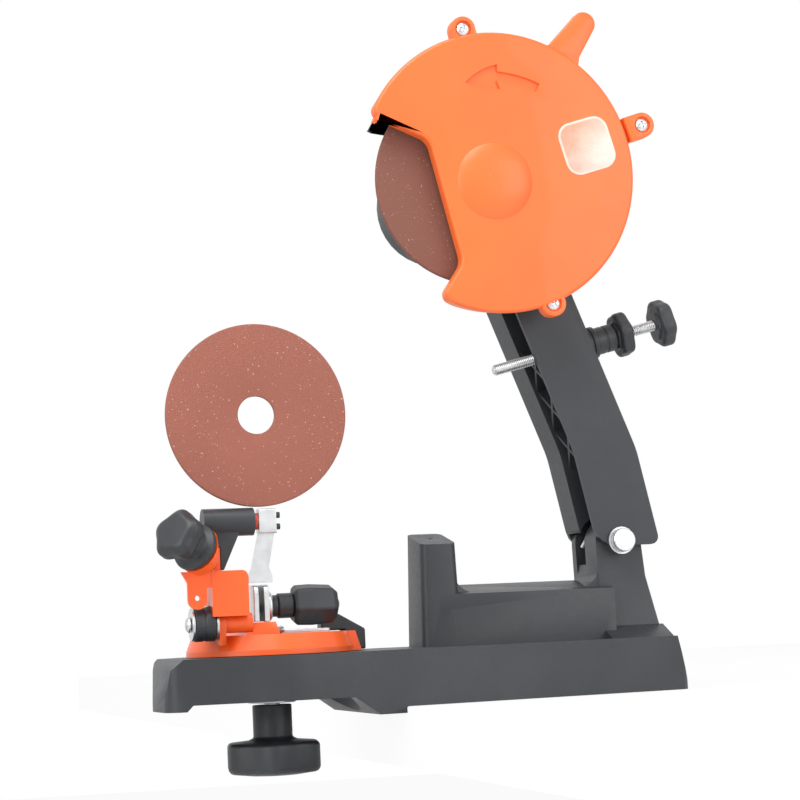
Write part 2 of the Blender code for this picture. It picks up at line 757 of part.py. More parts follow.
def tower():
    """Two ears, the back web that ties them and the sloped skirt on the near side."""
    near = tower_ear("near_ear", EAR_NEAR_Y, EAR_NEAR_Y + EAR_NEAR_T)
    far = tower_ear("far_ear", EAR_FAR_Y0, EAR_FAR_Y1)
    foot = BASE_DECK_Z - BASE_WALL / 2
    web_outline = [
        (TOWER_BACK_X - TOWER_WEB_T * 2, foot),
        (TOWER_BACK_X - GAP, foot),
        (TOWER_WAIST_X - GAP, TOWER_WAIST_Z),
        (TOWER_WAIST_X - TOWER_WEB_T, TOWER_WAIST_Z),
    ]
    web = prism("web", web_outline, "Y", EAR_NEAR_Y + EAR_NEAR_T / 2, EAR_FAR_Y0 + EAR_FAR_T / 2)
    run = EAR_NEAR_Y - plan_edge(TOWER_BACK_X, BASE_WALL / 2)
    skirt_outline = [
        (EAR_NEAR_Y - run, foot),
        (EAR_NEAR_Y - run, BASE_DECK_Z),
        (EAR_NEAR_Y, TOWER_SKIRT_Z),
        (EAR_NEAR_Y + EAR_NEAR_T / 2, TOWER_SKIRT_Z),
        (EAR_NEAR_Y + EAR_NEAR_T / 2, foot),
    ]
    skirt = prism("skirt", skirt_outline, "X", TOWER_FRONT_X, TOWER_BACK_X)
    return near, far, web, skirt


def saddle():
    """The low wall between post and tower, its top falling to the near side."""
    foot = BASE_DECK_Z - BASE_WALL / 2
    rise = (SADDLE_FAR_Y - SADDLE_NEAR_Y) * math.tan(SADDLE_FALL)
    outline = [
        (SADDLE_NEAR_Y, foot),
        (SADDLE_FAR_Y, foot),
        (SADDLE_FAR_Y, SADDLE_Z + rise),
        (SADDLE_NEAR_Y, SADDLE_Z),
    ]
    wall = prism("saddle", outline, "X", POST_X + POST_W / 2, TOWER_FRONT_X + EAR_FAR_T)
    fillets = []
    for corner_x, side in ((POST_X + POST_W - POST_DRAFT, 1), (TOWER_FRONT_X, -1)):
        centre_x = corner_x + side * SADDLE_FILLET
        centre_z = SADDLE_Z + SADDLE_FILLET
        start = math.pi if side > 0 else 1.5 * math.pi
        hollow = circle(centre_x, centre_z, SADDLE_FILLET, 6, start, math.pi / 2)
        deep = (corner_x - side * POST_W / 4, SADDLE_Z - SADDLE_FILLET / 2)
        if side > 0:
            ring = [(deep[0], centre_z)] + hollow + [(centre_x, deep[1]), deep]
        else:
            ring = [(centre_x, deep[1])] + hollow + [(deep[0], centre_z), deep]
        low = POST_NEAR_Y + POST_CORNER_R if side > 0 else EAR_NEAR_Y + GAP
        high = POST_NEAR_Y + POST_DEPTH - POST_CORNER_R if side > 0 else EAR_FAR_Y0 + GAP
        fillets.append(prism("fillet", ring, "Y", low, high))
    return [wall] + fillets


def post():
    """The drafted stop post with a sloping top and the dimple for the stop screw."""
    top = POST_Z + POST_DEPTH * math.tan(POST_FALL)
    foot = BASE_DECK_Z - BASE_WALL / 2
    x_mid = POST_X + POST_W / 2
    y_mid = POST_NEAR_Y + POST_DEPTH / 2
    rings = []
    bm = bmesh.new()
    for grow, height in ((POST_DRAFT, foot), (0, top)):
        half_w = POST_W / 2 + grow
        half_d = POST_DEPTH / 2 + grow
        corners = [
            (x_mid - half_w, y_mid - half_d),
            (x_mid + half_w, y_mid - half_d),
            (x_mid + half_w, y_mid + half_d),
            (x_mid - half_w, y_mid + half_d),
        ]
        rings.append([bm.verts.new((*p, height)) for p in rounded(corners, [POST_CORNER_R] * 4)])
    count = len(rings[0])
    for index in range(count):
        after = (index + 1) % count
        bm.faces.new((rings[0][index], rings[0][after], rings[1][after], rings[1][index]))
    bm.faces.new(rings[0])
    bm.faces.new(rings[1])
    made = from_bmesh("post", bm)
    slope = [
        (POST_NEAR_Y - CUT, POST_Z - CUT * math.tan(POST_FALL)),
        (POST_NEAR_Y + POST_DEPTH + CUT, top + CUT * math.tan(POST_FALL)),
        (POST_NEAR_Y + POST_DEPTH + CUT, top + POST_DEPTH),
        (POST_NEAR_Y - CUT, top + POST_DEPTH),
    ]
    cut(made, prism("slope", slope, "X", POST_X - POST_W, POST_X + 2 * POST_W))
    middle = POST_Z + POST_DEPTH / 2 * math.tan(POST_FALL)
    cone = [(0, -DIMPLE_DEPTH), (DIMPLE_R, CUT), (0, CUT)]
    cut(made, turned("dimple", cone, (x_mid, y_mid, middle), UPWARDS, PIN_STEPS))
    return made


def base_casting():
    """The whole moulded base in one piece."""
    made = bed()
    made.name = "base_casting"
    join(made, *tower(), *saddle(), post())
    bore = rod("bore", PIN_R + GAP / 3, (PIVOT_X, EAR_NEAR_Y, PIVOT_Z), TOWARDS_Y, -CUT, ARM_FAR_Y)
    stud = rod("stud", STUD_R + GAP, (TABLE_X, 0, 0), UPWARDS, -CUT, BASE_DECK_Z + CUT)
    holes = [rod("hole", BENCH_HOLE_R, (x, y, 0), UPWARDS, -LIP_DROP - CUT, BASE_DECK_Z + CUT, PIN_STEPS)
             for x, y in bench_hole_spots()]
    cut(made, bore, stud, *holes)
    return tidy(made, black)


def clip_ring(name, y):
    """A round wire clip in its groove, open on the side away from the vise."""
    ring = tube(name, PIN_R + CLIP_T, PIN_R + GAP / 2, (PIVOT_X, y, PIVOT_Z), TOWARDS_Y, 0, CLIP_T, PIN_STEPS)
    mouth = (PIVOT_X + PIN_R / 2, y - CUT, PIVOT_Z - PIN_R / 2)
    cut(ring, box("mouth", mouth, (PIVOT_X + 2 * PIN_R, y + CLIP_T + CUT, PIVOT_Z + PIN_R / 2)))
    return tidy(ring, steel)


def pivot_group():
    """Pin, its two clips and the return spring between the ears."""
    pin = rod("pivot_pin", PIN_R, (PIVOT_X, 0, PIVOT_Z), TOWARDS_Y, PIN_NEAR_Y, PIN_FAR_Y, SEAT_STEPS)
    tidy(pin, steel, PIVOT)
    clip_ring("pivot_clip_near", ARM_NEAR_Y - GAP - CLIP_T)
    clip_ring("pivot_clip_far", ARM_FAR_Y + GAP)


def coil_points():
    """Legs and turns of the return spring, worked out along its axis."""
    start_y = (EAR_NEAR_Y + EAR_NEAR_T + EAR_FAR_Y0) / 2 - SPRING_PITCH * SPRING_TURNS / 2
    points = []
    count = SPRING_TURNS * SPRING_POINTS
    for step in range(count + 1):
        angle = SPRING_START + 2 * math.pi * step / SPRING_POINTS
        y = start_y + SPRING_PITCH * step / SPRING_POINTS
        x = PIVOT_X + SPRING_R * math.cos(angle)
        points.append(Vector((x, y, PIVOT_Z + SPRING_R * math.sin(angle))))
    along = Vector((-math.sin(SPRING_START), 0, math.cos(SPRING_START)))
    return [points[0] - along * SPRING_LEG] + points + [points[-1] + along * SPRING_LEG]


def least_gap(points, wire):
    """The smallest clear distance between turns of a wire, from its own points."""
    spots = np.array([tuple(p) for p in points])
    count = len(spots)
    apart = np.linalg.norm(spots[:, None] - spots[None, :], axis=2)
    rows, columns = np.indices((count, count))
    apart[np.abs(rows - columns) < SPRING_POINTS // 2] = np.inf
    return apart.min() - 2 * wire


def return_spring():
    """The torsion spring as one unbroken tube."""
    points = coil_points()
    curve = bpy.data.curves.new("return_spring", "CURVE")
    curve.dimensions = "3D"
    curve.bevel_depth = SPRING_WIRE_R
    curve.bevel_resolution = 1
    curve.use_fill_caps = True
    line = curve.splines.new("POLY")
    line.points.add(len(points) - 1)
    for spot, point in zip(line.points, points):
        spot.co = (*point, 1)
    print("return_spring least gap mm", round(least_gap(points, SPRING_WIRE_R) / MM, 2))
    raw = bpy.data.objects.new("return_spring_curve", curve)
    bpy.context.scene.collection.objects.link(raw)
    bpy.context.view_layer.update()
    graph = bpy.context.evaluated_depsgraph_get()
    mesh = bpy.data.meshes.new_from_object(raw.evaluated_get(graph))
    bpy.data.objects.remove(raw, do_unlink=True)
    made = bpy.data.objects.new("return_spring", mesh)
    bpy.context.scene.collection.objects.link(made)
    return tidy(made, steel)


def arm_spine():
    """Points down the middle of the arm: foot, bend and head."""
    foot = Vector((PIVOT_X + ARM_HEEL, PIVOT_Z))
    low = Vector((-math.sin(ARM_LOW_TILT), math.cos(ARM_LOW_TILT)))
    high = Vector((-math.sin(ARM_HIGH_TILT), math.cos(ARM_HIGH_TILT)))
    bend = foot + low * ARM_LOW_LEN
    head = bend + high * (DISC_Z - bend.y) / math.cos(ARM_HIGH_TILT)
    return foot - low * ARM_FOOT_DROP, bend, head


def arm_outline(inset=0.0):
    """The arm's side outline as a band of constant width with one soft bend."""
    foot, bend, head = arm_spine()
    side = Vector((ARM_HALF_W - inset, 0))
    corners = [foot - side, bend - side, head - side, head + side, bend + side, foot + side]
    radii = [ARM_HEEL_R, ARM_BEND_R, 0, 0, ARM_BEND_R, ARM_CORNER_R]
    return rounded(corners, radii, 4)


def arm_frame():
    """The matrix of the arm's upper stretch: +Z runs up the arm from the bend."""
    bend = arm_spine()[1]
    turn = Matrix.Rotation(-ARM_HIGH_TILT, 4, "Y")
    return Matrix.Translation(Vector((bend.x, 0, bend.y))) @ turn


def arm_ribs():
    """Crossed ribs between the near plate and the far box, seen edge-on in the open front."""
    low_y = ARM_NEAR_Y + ARM_PLATE_T / 2
    high_y = ARM_BOX_Y + ARM_PLATE_T / 2
    span = high_y - low_y
    pitch = span * ARM_RIB_PITCH_SHARE
    ribs = []
    for cell in range(ARM_RIB_CELLS):
        base = pitch * cell - ARM_RIB_DROP
        for rise in (1, -1):
            start = (low_y, base if rise > 0 else base + pitch)
            end = (high_y, base + pitch if rise > 0 else base)
            along = (Vector(end) - Vector(start)).normalized()
            side = Vector((-along.y, along.x)) * ARM_RIB_T / 2
            corners = [Vector(start) - side, Vector(end) - side, Vector(end) + side, Vector(start) + side]
            outline = [tuple(c) for c in corners]
            rib = prism("rib", outline, "X", -ARM_HALF_W + ARM_RIB_INSET, ARM_HALF_W - ARM_WEB_T / 2)
            rib.data.transform(arm_frame())
            ribs.append(rib)
    return ribs


def stop_point(along):
    """A point on the stop screw's axis, measured from its tip."""
    return (STOP_X + along * math.cos(STOP_TILT), STOP_Y, STOP_Z + along * math.sin(STOP_TILT))


STOP_AXIS = (math.cos(STOP_TILT), 0, math.sin(STOP_TILT))


def swing_arm():
    """Near plate, closed far box, back web and ribs, fused with the motor head."""
    made = prism("arm_casting", arm_outline(), "Y", ARM_NEAR_Y, ARM_NEAR_Y + ARM_PLATE_T)
    far_box = prism("far_box", arm_outline(), "Y", ARM_BOX_Y, ARM_FAR_Y)
    web = prism("web", arm_outline(GAP / 2), "Y", ARM_NEAR_Y + ARM_PLATE_T / 2, ARM_BOX_Y + ARM_PLATE_T)
    foot, bend, head = arm_spine()
    front = Vector((ARM_HALF_W + CUT, 0))
    back = Vector((ARM_HALF_W - ARM_WEB_T, 0))
    below = Vector((0, ARM_WEB_T * 2))
    inner = rounded(
        [foot - front, bend - front, head - front, head + back, bend + back, foot + back - below],
        [0, 0, 0, 0, ARM_BEND_R - ARM_WEB_T, 0], 4)
    cut(web, prism("inner", inner, "Y", 0, ARM_FAR_Y))
    clear = EAR_HEAD_R + ARM_EAR_GAP
    swept = (EAR_NEAR_Y - GAP * 2, EAR_FAR_Y1 + GAP)
    lug_cut = rod("lug_cut", clear, (PIVOT_X, 0, PIVOT_Z), TOWARDS_Y, swept[0], swept[1], SEAT_STEPS)
    under = box("under", (PIVOT_X - 3 * clear, swept[0], PIVOT_Z - 3 * clear),
                (PIVOT_X + 3 * clear, swept[1], PIVOT_Z + ARM_EAR_GAP))
    join(far_box, web)
    cut(far_box, lug_cut, under)
    head_ring = rod("head", MOTOR_HEAD_R, SPIN, TOWARDS_Y, HEAD_FRONT_Y, HEAD_BACK_Y, BODY_STEPS)
    join(made, far_box, *arm_ribs())
    boss = rod("stop_boss", SLEEVE_FLANGE_R, stop_point(0), STOP_AXIS,
               STOP_SEAT - ARM_BOSS_LEN, STOP_SEAT - GAP, PIN_STEPS)
    join(made, boss, head_ring)
    cavity = rod("cavity", MOTOR_HEAD_R - MOTOR_WALL, SPIN, TOWARDS_Y,
                 HEAD_FRONT_Y + HEAD_FRONT_T, HEAD_BACK_Y + CUT, BODY_STEPS)
    seat = rod("seat", BEARING_R + GAP / 2, SPIN, TOWARDS_Y,
               HEAD_FRONT_Y + HEAD_FRONT_T - BEARING_W, HEAD_BACK_Y, SEAT_STEPS)
    nose_bore = rod("nose_bore", SPINDLE_R + 2 * GAP, SPIN, TOWARDS_Y, 0, HEAD_BACK_Y, PIN_STEPS)
    pin_bore = rod("pin_bore", PIN_R + GAP / 3, (PIVOT_X, 0, PIVOT_Z), TOWARDS_Y,
                   0, ARM_FAR_Y + CUT, SEAT_STEPS)
    screw_bore = rod("screw_bore", STOP_R + GAP, stop_point(0), STOP_AXIS, -CUT, STOP_SEAT + CUT, PIN_STEPS)
    tail_bore = rod("tail_bore", SLEEVE_TAIL_R + GAP / 2, stop_point(0), STOP_AXIS,
                    STOP_SEAT - SLEEVE_TAIL_LEN - GAP, STOP_SEAT + CUT, PIN_STEPS)
    cut(made, cavity, seat, nose_bore, pin_bore, screw_bore, tail_bore)
    return tidy(made, black, PIVOT)


def motor_cover():
    """The rear cup over the motor, with vent slots, a bearing seat and a switch pocket."""
    back = COVER_Y + COVER_LEN
    edge = MOTOR_HEAD_R - COVER_ROUND
    profile = [(MOTOR_HEAD_R, COVER_Y)]
    profile += [(edge + COVER_ROUND * math.cos(a), back - COVER_ROUND + COVER_ROUND * math.sin(a))
                for a in (0, math.pi / 6, math.pi / 3, math.pi / 2)]
    profile += [(0, back), (0, back - COVER_BACK_T), (MOTOR_HEAD_R - MOTOR_WALL, back - COVER_BACK_T),
                (MOTOR_HEAD_R - MOTOR_WALL, COVER_Y)]
    made = turned("motor_cover", profile, SPIN, TOWARDS_Y, BODY_STEPS, closed=True)
    hub = tube("hub", BEARING_R + MOTOR_WALL, BEARING_R + GAP / 2, SPIN, TOWARDS_Y,
               back - COVER_BACK_T - BEARING_W, back - COVER_BACK_T / 2, SEAT_STEPS)
    join(made, hub)
    slots = []
    for index in range(VENT_COUNT):
        x = DISC_X + (index - (VENT_COUNT - 1) / 2) * VENT_PITCH
        for side in (1, -1):
            z = DISC_Z + side * MOTOR_HEAD_R * VENT_SHARE
            slots.append(box("slot", (x - VENT_W / 2, back - COVER_BACK_T - CUT, z - VENT_LEN / 2),
                             (x + VENT_W / 2, back + CUT, z + VENT_LEN / 2)))
    top = DISC_Z + MOTOR_HEAD_R
    pocket = switch_block("pocket", GAP, DISC_Z, top + 2 * CUT)
    join(made, switch_block("pad", MOTOR_WALL, top - MOTOR_WALL + GAP, top + SWITCH_PAD))
    inlet = rod("inlet", GLAND_R + GAP / 2, gland_point(), GLAND_AXIS, -GLAND_LEN, GLAND_LEN, PIN_STEPS)
    cut(made, pocket, inlet, *slots)
    return tidy(made, black)


def switch_y():
    """Where the switch sits along the motor cover."""
    return COVER_Y + COVER_LEN / 2


def switch_block(name, grow, low, high):
    """A block over the switch's own outline, larger all round by grow."""
    half_w = SWITCH_HALF_W + grow
    half_l = SWITCH_HALF_L + grow
    y = switch_y()
    return box(name, (DISC_X - half_w, y - half_l, low), (DISC_X + half_w, y + half_l, high))


def gland_point():
    """Where the mains inlet leaves the cover, on the side away from the vise."""
    reach = MOTOR_HEAD_R
    return (DISC_X + reach * GLAND_AXIS[0], switch_y(), DISC_Z + reach * GLAND_AXIS[2])


GLAND_AXIS = (math.cos(GLAND_ANGLE), 0, math.sin(GLAND_ANGLE))


def switch_and_inlet():
    """A rocker in its frame on top of the cover, and the bare cable inlet."""
    top = DISC_Z + MOTOR_HEAD_R + SWITCH_PAD
    y = switch_y()
    frame = switch_block("switch_frame", 0, top - SWITCH_DEEP, top + GAP)
    join(frame, switch_block("rim", SWITCH_RIM, top + GAP, top + GAP + SWITCH_RIM))
    cut(frame, switch_block("well", -SWITCH_RIM, top - SWITCH_DEEP + SWITCH_RIM, top + SWITCH_DEEP))
    tidy(frame, black)
    inner_w = SWITCH_HALF_W - SWITCH_RIM
    long = SWITCH_HALF_L - SWITCH_RIM - GAP * 2
    foot = long * ROCKER_FOOT_SHARE
    outline = [
        (y - long, top + ROCKER_RISE), (y, top + GAP), (y + long * ROCKER_LOW_SHARE, top + GAP * 4),
        (y + foot, top - SWITCH_DEEP / 3), (y, top - SWITCH_DEEP + SWITCH_RIM + GAP * 3),
        (y - foot, top - SWITCH_DEEP / 3),
    ]
    rocker = prism("switch_rocker", outline, "X", DISC_X - inner_w + GAP, DISC_X + inner_w - GAP)
    tidy(rocker, black, (DISC_X, y, top))
    profile = [(GLAND_R, -MOTOR_WALL), (GLAND_R, GAP), (GLAND_RIM_R, GAP), (GLAND_TIP_R, GLAND_LEN),
               (GLAND_BORE_R, GLAND_LEN), (GLAND_BORE_R, -MOTOR_WALL)]
    gland = turned("cable_inlet", profile, gland_point(), GLAND_AXIS, PIN_STEPS, closed=True)
    tidy(gland, black)


def motor():
    """Stator, rotor, shaft and the two ball bearings, as plain turned bodies."""
    front = HEAD_FRONT_Y + HEAD_FRONT_T
    middle = (front + COVER_Y + COVER_LEN - COVER_BACK_T - BEARING_W) / 2
    outer = MOTOR_HEAD_R - MOTOR_WALL - GAP
    stator = tube("motor_stator", outer, outer - STATOR_WALL, SPIN, TOWARDS_Y,
                  middle - STATOR_LEN / 2, middle + STATOR_LEN / 2, BODY_STEPS)
    tidy(stator, copper)
    rotor = tube("motor_rotor", outer - STATOR_WALL - AIR_GAP, SPINDLE_R + GAP, SPIN, TOWARDS_Y,
                 middle - ROTOR_LEN / 2, middle + ROTOR_LEN / 2, BODY_STEPS)
    tidy(rotor, core, (DISC_X, middle, DISC_Z))
    back = COVER_Y + COVER_LEN - COVER_BACK_T
    for name, y in (("bearing_front", front - BEARING_W), ("bearing_rear", back - BEARING_W)):
        ring = tube(name, BEARING_R, SPINDLE_R + GAP, SPIN, TOWARDS_Y, y + GAP, y + BEARING_W - GAP, PIN_STEPS)
        tidy(ring, steel)
    nut_end = -DISC_T / 2 - GAP * 2 - FLANGE_T - NUT_T - GAP - SPINDLE_TIP
    shaft = rod("spindle_shaft", SPINDLE_R, SPIN, TOWARDS_Y, nut_end, back - GAP * 2, PIN_STEPS)
    tidy(shaft, steel, SPIN)


def disc_group():
    """The disc between its two flanges, held by the spindle nut."""
    disc = tube("grinding_disc", DISC_R, DISC_BORE_R, SPIN, TOWARDS_Y, -DISC_T / 2, DISC_T / 2, RIM_STEPS)
    tidy(disc, abrasive, SPIN)
    inner = DISC_T / 2 + GAP
    hub = DISC_BORE_R - GAP
    bore = SPINDLE_R + GAP
    profile = [(hub, -DISC_T / 2 + GAP), (hub, inner), (FLANGE_R, inner), (FLANGE_R, inner + FLANGE_T),
               (bore, inner + FLANGE_T), (bore, -DISC_T / 2 + GAP)]
    tidy(turned("inner_flange", profile, SPIN, TOWARDS_Y, PIN_STEPS, closed=True), steel, SPIN)
    outer = tube("outer_flange", FLANGE_R, bore, SPIN, TOWARDS_Y, -inner - FLANGE_T, -inner, PIN_STEPS)
    tidy(outer, steel, SPIN)
    low = -inner - FLANGE_T - GAP
    nut = tube("spindle_nut", NUT_R, bore / HEX_SHARE, SPIN, TOWARDS_Y, low - NUT_T, low, 6)
    tidy(nut, steel, SPIN)


def ear_spots():
    """Centres of the guard's three screw ears, at the plane of the disc."""
    return [(GUARD_X + EAR_PITCH_R * math.cos(a), 0, GUARD_Z + EAR_PITCH_R * math.sin(a)) for a in EAR_ANGLES]


def grown(corners, distance):
    """A clockwise outline with every edge moved outwards by a distance."""
    spots = [Vector(corner) for corner in corners]
    moved = []
    for index, here in enumerate(spots):
        back = (here - spots[index - 1]).normalized()
        ahead = (spots[(index + 1) % len(spots)] - here).normalized()
        out = Vector((-back.y - ahead.y, back.x + ahead.x)).normalized()
        reach = distance / max(out.dot(Vector((-back.y, back.x))), 0.5)
        moved.append(tuple(here + out * reach))
    return moved


def guard_notch(name, low, high, grow=0.0):
    """The opening that bares the disc, as a cutter; grow widens it on every side."""
    corners = grown([(GUARD_X + x * GUARD_R, GUARD_Z + z * GUARD_R) for x, z in NOTCH_SHARES], grow)
    round_r = NOTCH_CORNER_R + grow
    return prism(name, rounded(corners, [0, 0, round_r, round_r, 0, 0], 5), "Y", low, high)


def rear_shield():
    """The flat plate behind the disc that the guard screws to."""
    back = SHIELD_Y + SHIELD_T
    made = rod("rear_shield", GUARD_R - GAP, (GUARD_X, 0, GUARD_Z), TOWARDS_Y, SHIELD_Y, back, RIM_STEPS)
    for spot in ear_spots():
        join(made, rod("ear", EAR_R - GAP, spot, TOWARDS_Y, SHIELD_Y + GAP / 3, back - GAP / 3, PIN_STEPS))
    cut(made, guard_notch("notch", SHIELD_Y - CUT, back + CUT, -SHIELD_SHOW),
        rod("hole", FLANGE_R - CUT, SPIN, TOWARDS_Y, 0, ARM_NEAR_Y, PIN_STEPS),
        *[rod("screw", SCREW_R + GAP, spot, TOWARDS_Y, 0, ARM_NEAR_Y + CUT, 12) for spot in ear_spots()])
    return tidy(made, black)


def disc_guard():
    """The orange cover: a shallow cup with a rolled front edge, ears and a thumb tab."""
    back = SHIELD_Y - GAP
    front = GUARD_FRONT_Y
    r = GUARD_EDGE_R
    inner = GUARD_R - GUARD_WALL
    profile = [(0, front)]
    profile += [(GUARD_R - r + r * math.sin(a), front + r - r * math.cos(a)) for a in
                (0, math.pi / 6, math.pi / 3, math.pi / 2)]
    profile += [(GUARD_R, back), (0, back)]
    centre = (GUARD_X, 0, GUARD_Z)
    made = turned("disc_guard", profile, centre, TOWARDS_Y, RIM_STEPS)
    ear_front = back - EAR_T
    extras = [rod("ear", EAR_R, spot, TOWARDS_Y, ear_front, back - GAP / 3, PIN_STEPS)
              for spot in ear_spots()]
    along = Vector((math.cos(TAB_ANGLE), math.sin(TAB_ANGLE)))
    side = Vector((-along.y, along.x))
    middle = Vector((GUARD_X, GUARD_Z))
    tip = middle + along * (TAB_REACH - TAB_R)
    root = middle + along * (inner + GUARD_WALL / 2)
    arc = circle(tip.x, tip.y, TAB_R, 8, TAB_ANGLE - math.pi / 2, math.pi)
    outline = [tuple(root - side * TAB_HALF_ROOT)] + arc + [tuple(root + side * TAB_HALF_ROOT)]
    extras.append(prism("tab", outline, "Y", back - TAB_T, back - GAP / 2))
    join(made, *extras)
    hollow = rod("hollow", inner, centre, TOWARDS_Y, front + GUARD_WALL, back + CUT, RIM_STEPS)
    cut(hollow, guard_notch("notch_wall", front, NOTCH_WALL_Y, GUARD_WALL))
    tools = [hollow, guard_notch("notch", front - CUT, back + CUT)]
    for spot in ear_spots():
        tools.append(rod("screw", SCREW_R + GAP, spot, TOWARDS_Y, ear_front - CUT, back + CUT, 12))
        tools.append(rod("sink", SCREW_HEAD_R + GAP, spot, TOWARDS_Y,
                         ear_front - CUT, ear_front + SCREW_HEAD_T, PIN_STEPS))
    cut(made, *tools)
    return tidy(made, orange)


def guard_screws():
    """Three domed screws through the guard's ears into the shield."""
    seat = SHIELD_Y - GAP - EAR_T + SCREW_HEAD_T - GAP
    end = seat + SCREW_LEN
    profile = domed_head(SCREW_HEAD_R, SCREW_HEAD_T, seat) + [(SCREW_R, seat), (SCREW_R, end), (0, end)]
    for index, spot in enumerate(ear_spots()):
        tidy(turned(f"guard_screw_{index + 1}", profile, spot, TOWARDS_Y, 16), steel)


def stop_screw_group():
    """The stop screw, its threaded sleeve in the arm, lock wheel and end wheel."""
    origin = stop_point(0)
    tidy(rod("depth_screw", STOP_R, origin, STOP_AXIS, 0, STOP_LEN - END_WHEEL_T / 2, PIN_STEPS), steel)
    bore = STOP_R + GAP
    flange_end = STOP_SEAT + SLEEVE_FLANGE_T
    end = flange_end + SLEEVE_LEN
    profile = [(SLEEVE_TAIL_R, STOP_SEAT - SLEEVE_TAIL_LEN), (SLEEVE_TAIL_R, STOP_SEAT),
               (SLEEVE_FLANGE_R, STOP_SEAT), (SLEEVE_FLANGE_R, flange_end), (SLEEVE_R, flange_end),
               (SLEEVE_R, end), (bore, end), (bore, STOP_SEAT - SLEEVE_TAIL_LEN)]
    tidy(turned("depth_sleeve", profile, origin, STOP_AXIS, PIN_STEPS, closed=True), black)
    chamfer = WHEEL_LOBE
    lock = lobed_knob("depth_lock_wheel", lobed(LOCK_WHEEL_R, WHEEL_LOBE, 6), chamfer, origin, STOP_AXIS,
                      end + GAP, end + GAP + LOCK_WHEEL_T, bore)
    tidy(lock, black, stop_point(end))
    wheel = lobed_knob("depth_end_wheel", lobed(END_WHEEL_R, WHEEL_LOBE, 6), chamfer, origin, STOP_AXIS,
                       STOP_LEN - END_WHEEL_T, STOP_LEN)
    cut(wheel, rod("blind", bore, origin, STOP_AXIS, STOP_LEN - END_WHEEL_T - CUT,
                   STOP_LEN - END_WHEEL_T / 2 + GAP, PIN_STEPS))
    tidy(wheel, black, stop_point(STOP_LEN))


def table_plate():
    """The orange turntable: drafted rim, rear lug, jaw pedestal and the hinge lug."""
    low, top = TABLE_Z, TABLE_TOP
    profile = [(0, low), (TABLE_R, low), (TABLE_R, low + TABLE_T / 4), (TABLE_R - TABLE_RIM, top), (0, top)]
    centre = (TABLE_X, 0, 0)
    made = turned("turntable_plate", profile, centre, UPWARDS, RIM_STEPS)
    edge = TABLE_X + TABLE_R
    lug_outline = [
        (edge - TABLE_RIM * 3, low + GAP / 3),
        (edge + TABLE_LUG, low + GAP / 3),
        (edge + TABLE_LUG - TABLE_RIM, top - GAP / 3),
        (edge - TABLE_RIM * 3, top - GAP / 3),
    ]
    lug = prism("lug", lug_outline, "Y", -TABLE_LUG_HALF_W, TABLE_LUG_HALF_W)
    half = PEDESTAL_HALF_W
    pedestal_outline = [
        (JAW_X - half - TABLE_RIM, top - TABLE_RIM),
        (JAW_X + half + TABLE_RIM, top - TABLE_RIM),
        (JAW_X + half, JAW_LOW_Z - GAP),
        (JAW_X - half, JAW_LOW_Z - GAP),
    ]
    pedestal = prism("pedestal", pedestal_outline, "Y", JAW_Y - JAW_LEN / 2, JAW_Y + JAW_LEN / 2)
    clip(pedestal, rod("round", TABLE_R - TABLE_RIM, centre, UPWARDS, 0, HINGE_Z + TABLE_T, RIM_STEPS))
    lug_x = hinge_lug_x()
    ear = rod("hinge_ear", COLLAR_LUG_R, (lug_x, HINGE_Y, HINGE_Z), ALONG_X, 0, COLLAR_LUG_T, PIN_STEPS)
    strut_outline = [
        (HINGE_Y - STRUT_FRONT, top - STRUT_DROP),
        (HINGE_Y + STRUT_BACK, top - TABLE_RIM),
        (HINGE_Y + STRUT_HALF_TOP, HINGE_Z),
        (HINGE_Y - STRUT_HALF_TOP, HINGE_Z),
    ]
    strut = prism("strut", strut_outline, "X", lug_x + GAP / 3, lug_x + COLLAR_LUG_T - GAP / 3)
    join(made, lug, pedestal, ear, strut)
    bolt = rod("bolt", BOLT_R + GAP, (lug_x, HINGE_Y, HINGE_Z), ALONG_X, -CUT, COLLAR_LUG_T + CUT, PIN_STEPS)
    socket = rod("socket", STUD_R + GAP, centre, UPWARDS, low - CUT, top - TABLE_RIM, PIN_STEPS)
    screw = rod("screw", PLATE_SCREW_R / 2 + GAP, plate_screw_spot(), UPWARDS,
                top - PLATE_SCREW_LEN, top + CUT, 12)
    room = rod("room", BARREL_R + GAP, (0, HINGE_Y, HINGE_Z), ALONG_X,
               lug_x + COLLAR_LUG_T, BARREL_X1 + GAP, PIN_STEPS)
    cut(made, bolt, room, socket, screw)
    return tidy(made, orange, (TABLE_X, 0, TABLE_Z))


def hinge_lug_x():
    """The near face of the turntable's ear for the chain stop's bolt."""
    return BUSH_X + BUSH_LEN + HINGE_WASHER_T + 2 * GAP


def table_grip():
    """The black grip that hooks over the turntable's rim."""
    rim = TABLE_X + TABLE_R + GAP * 2
    top = TABLE_TOP + GAP
    outline = [
        (rim - GRIP_IN, top),
        (rim, top),
        (rim, TABLE_Z + GAP),
        (rim + GRIP_OUT, TABLE_Z + GAP),
        (rim + GRIP_OUT, top + GAP),
        (rim - GRIP_IN / 4, top + GRIP_RISE),
        (rim - GRIP_IN, top + GRIP_T),
    ]
    made = prism("table_grip", outline, "Y", GRIP_Y, GRIP_Y + GRIP_W)
    return tidy(made, black)


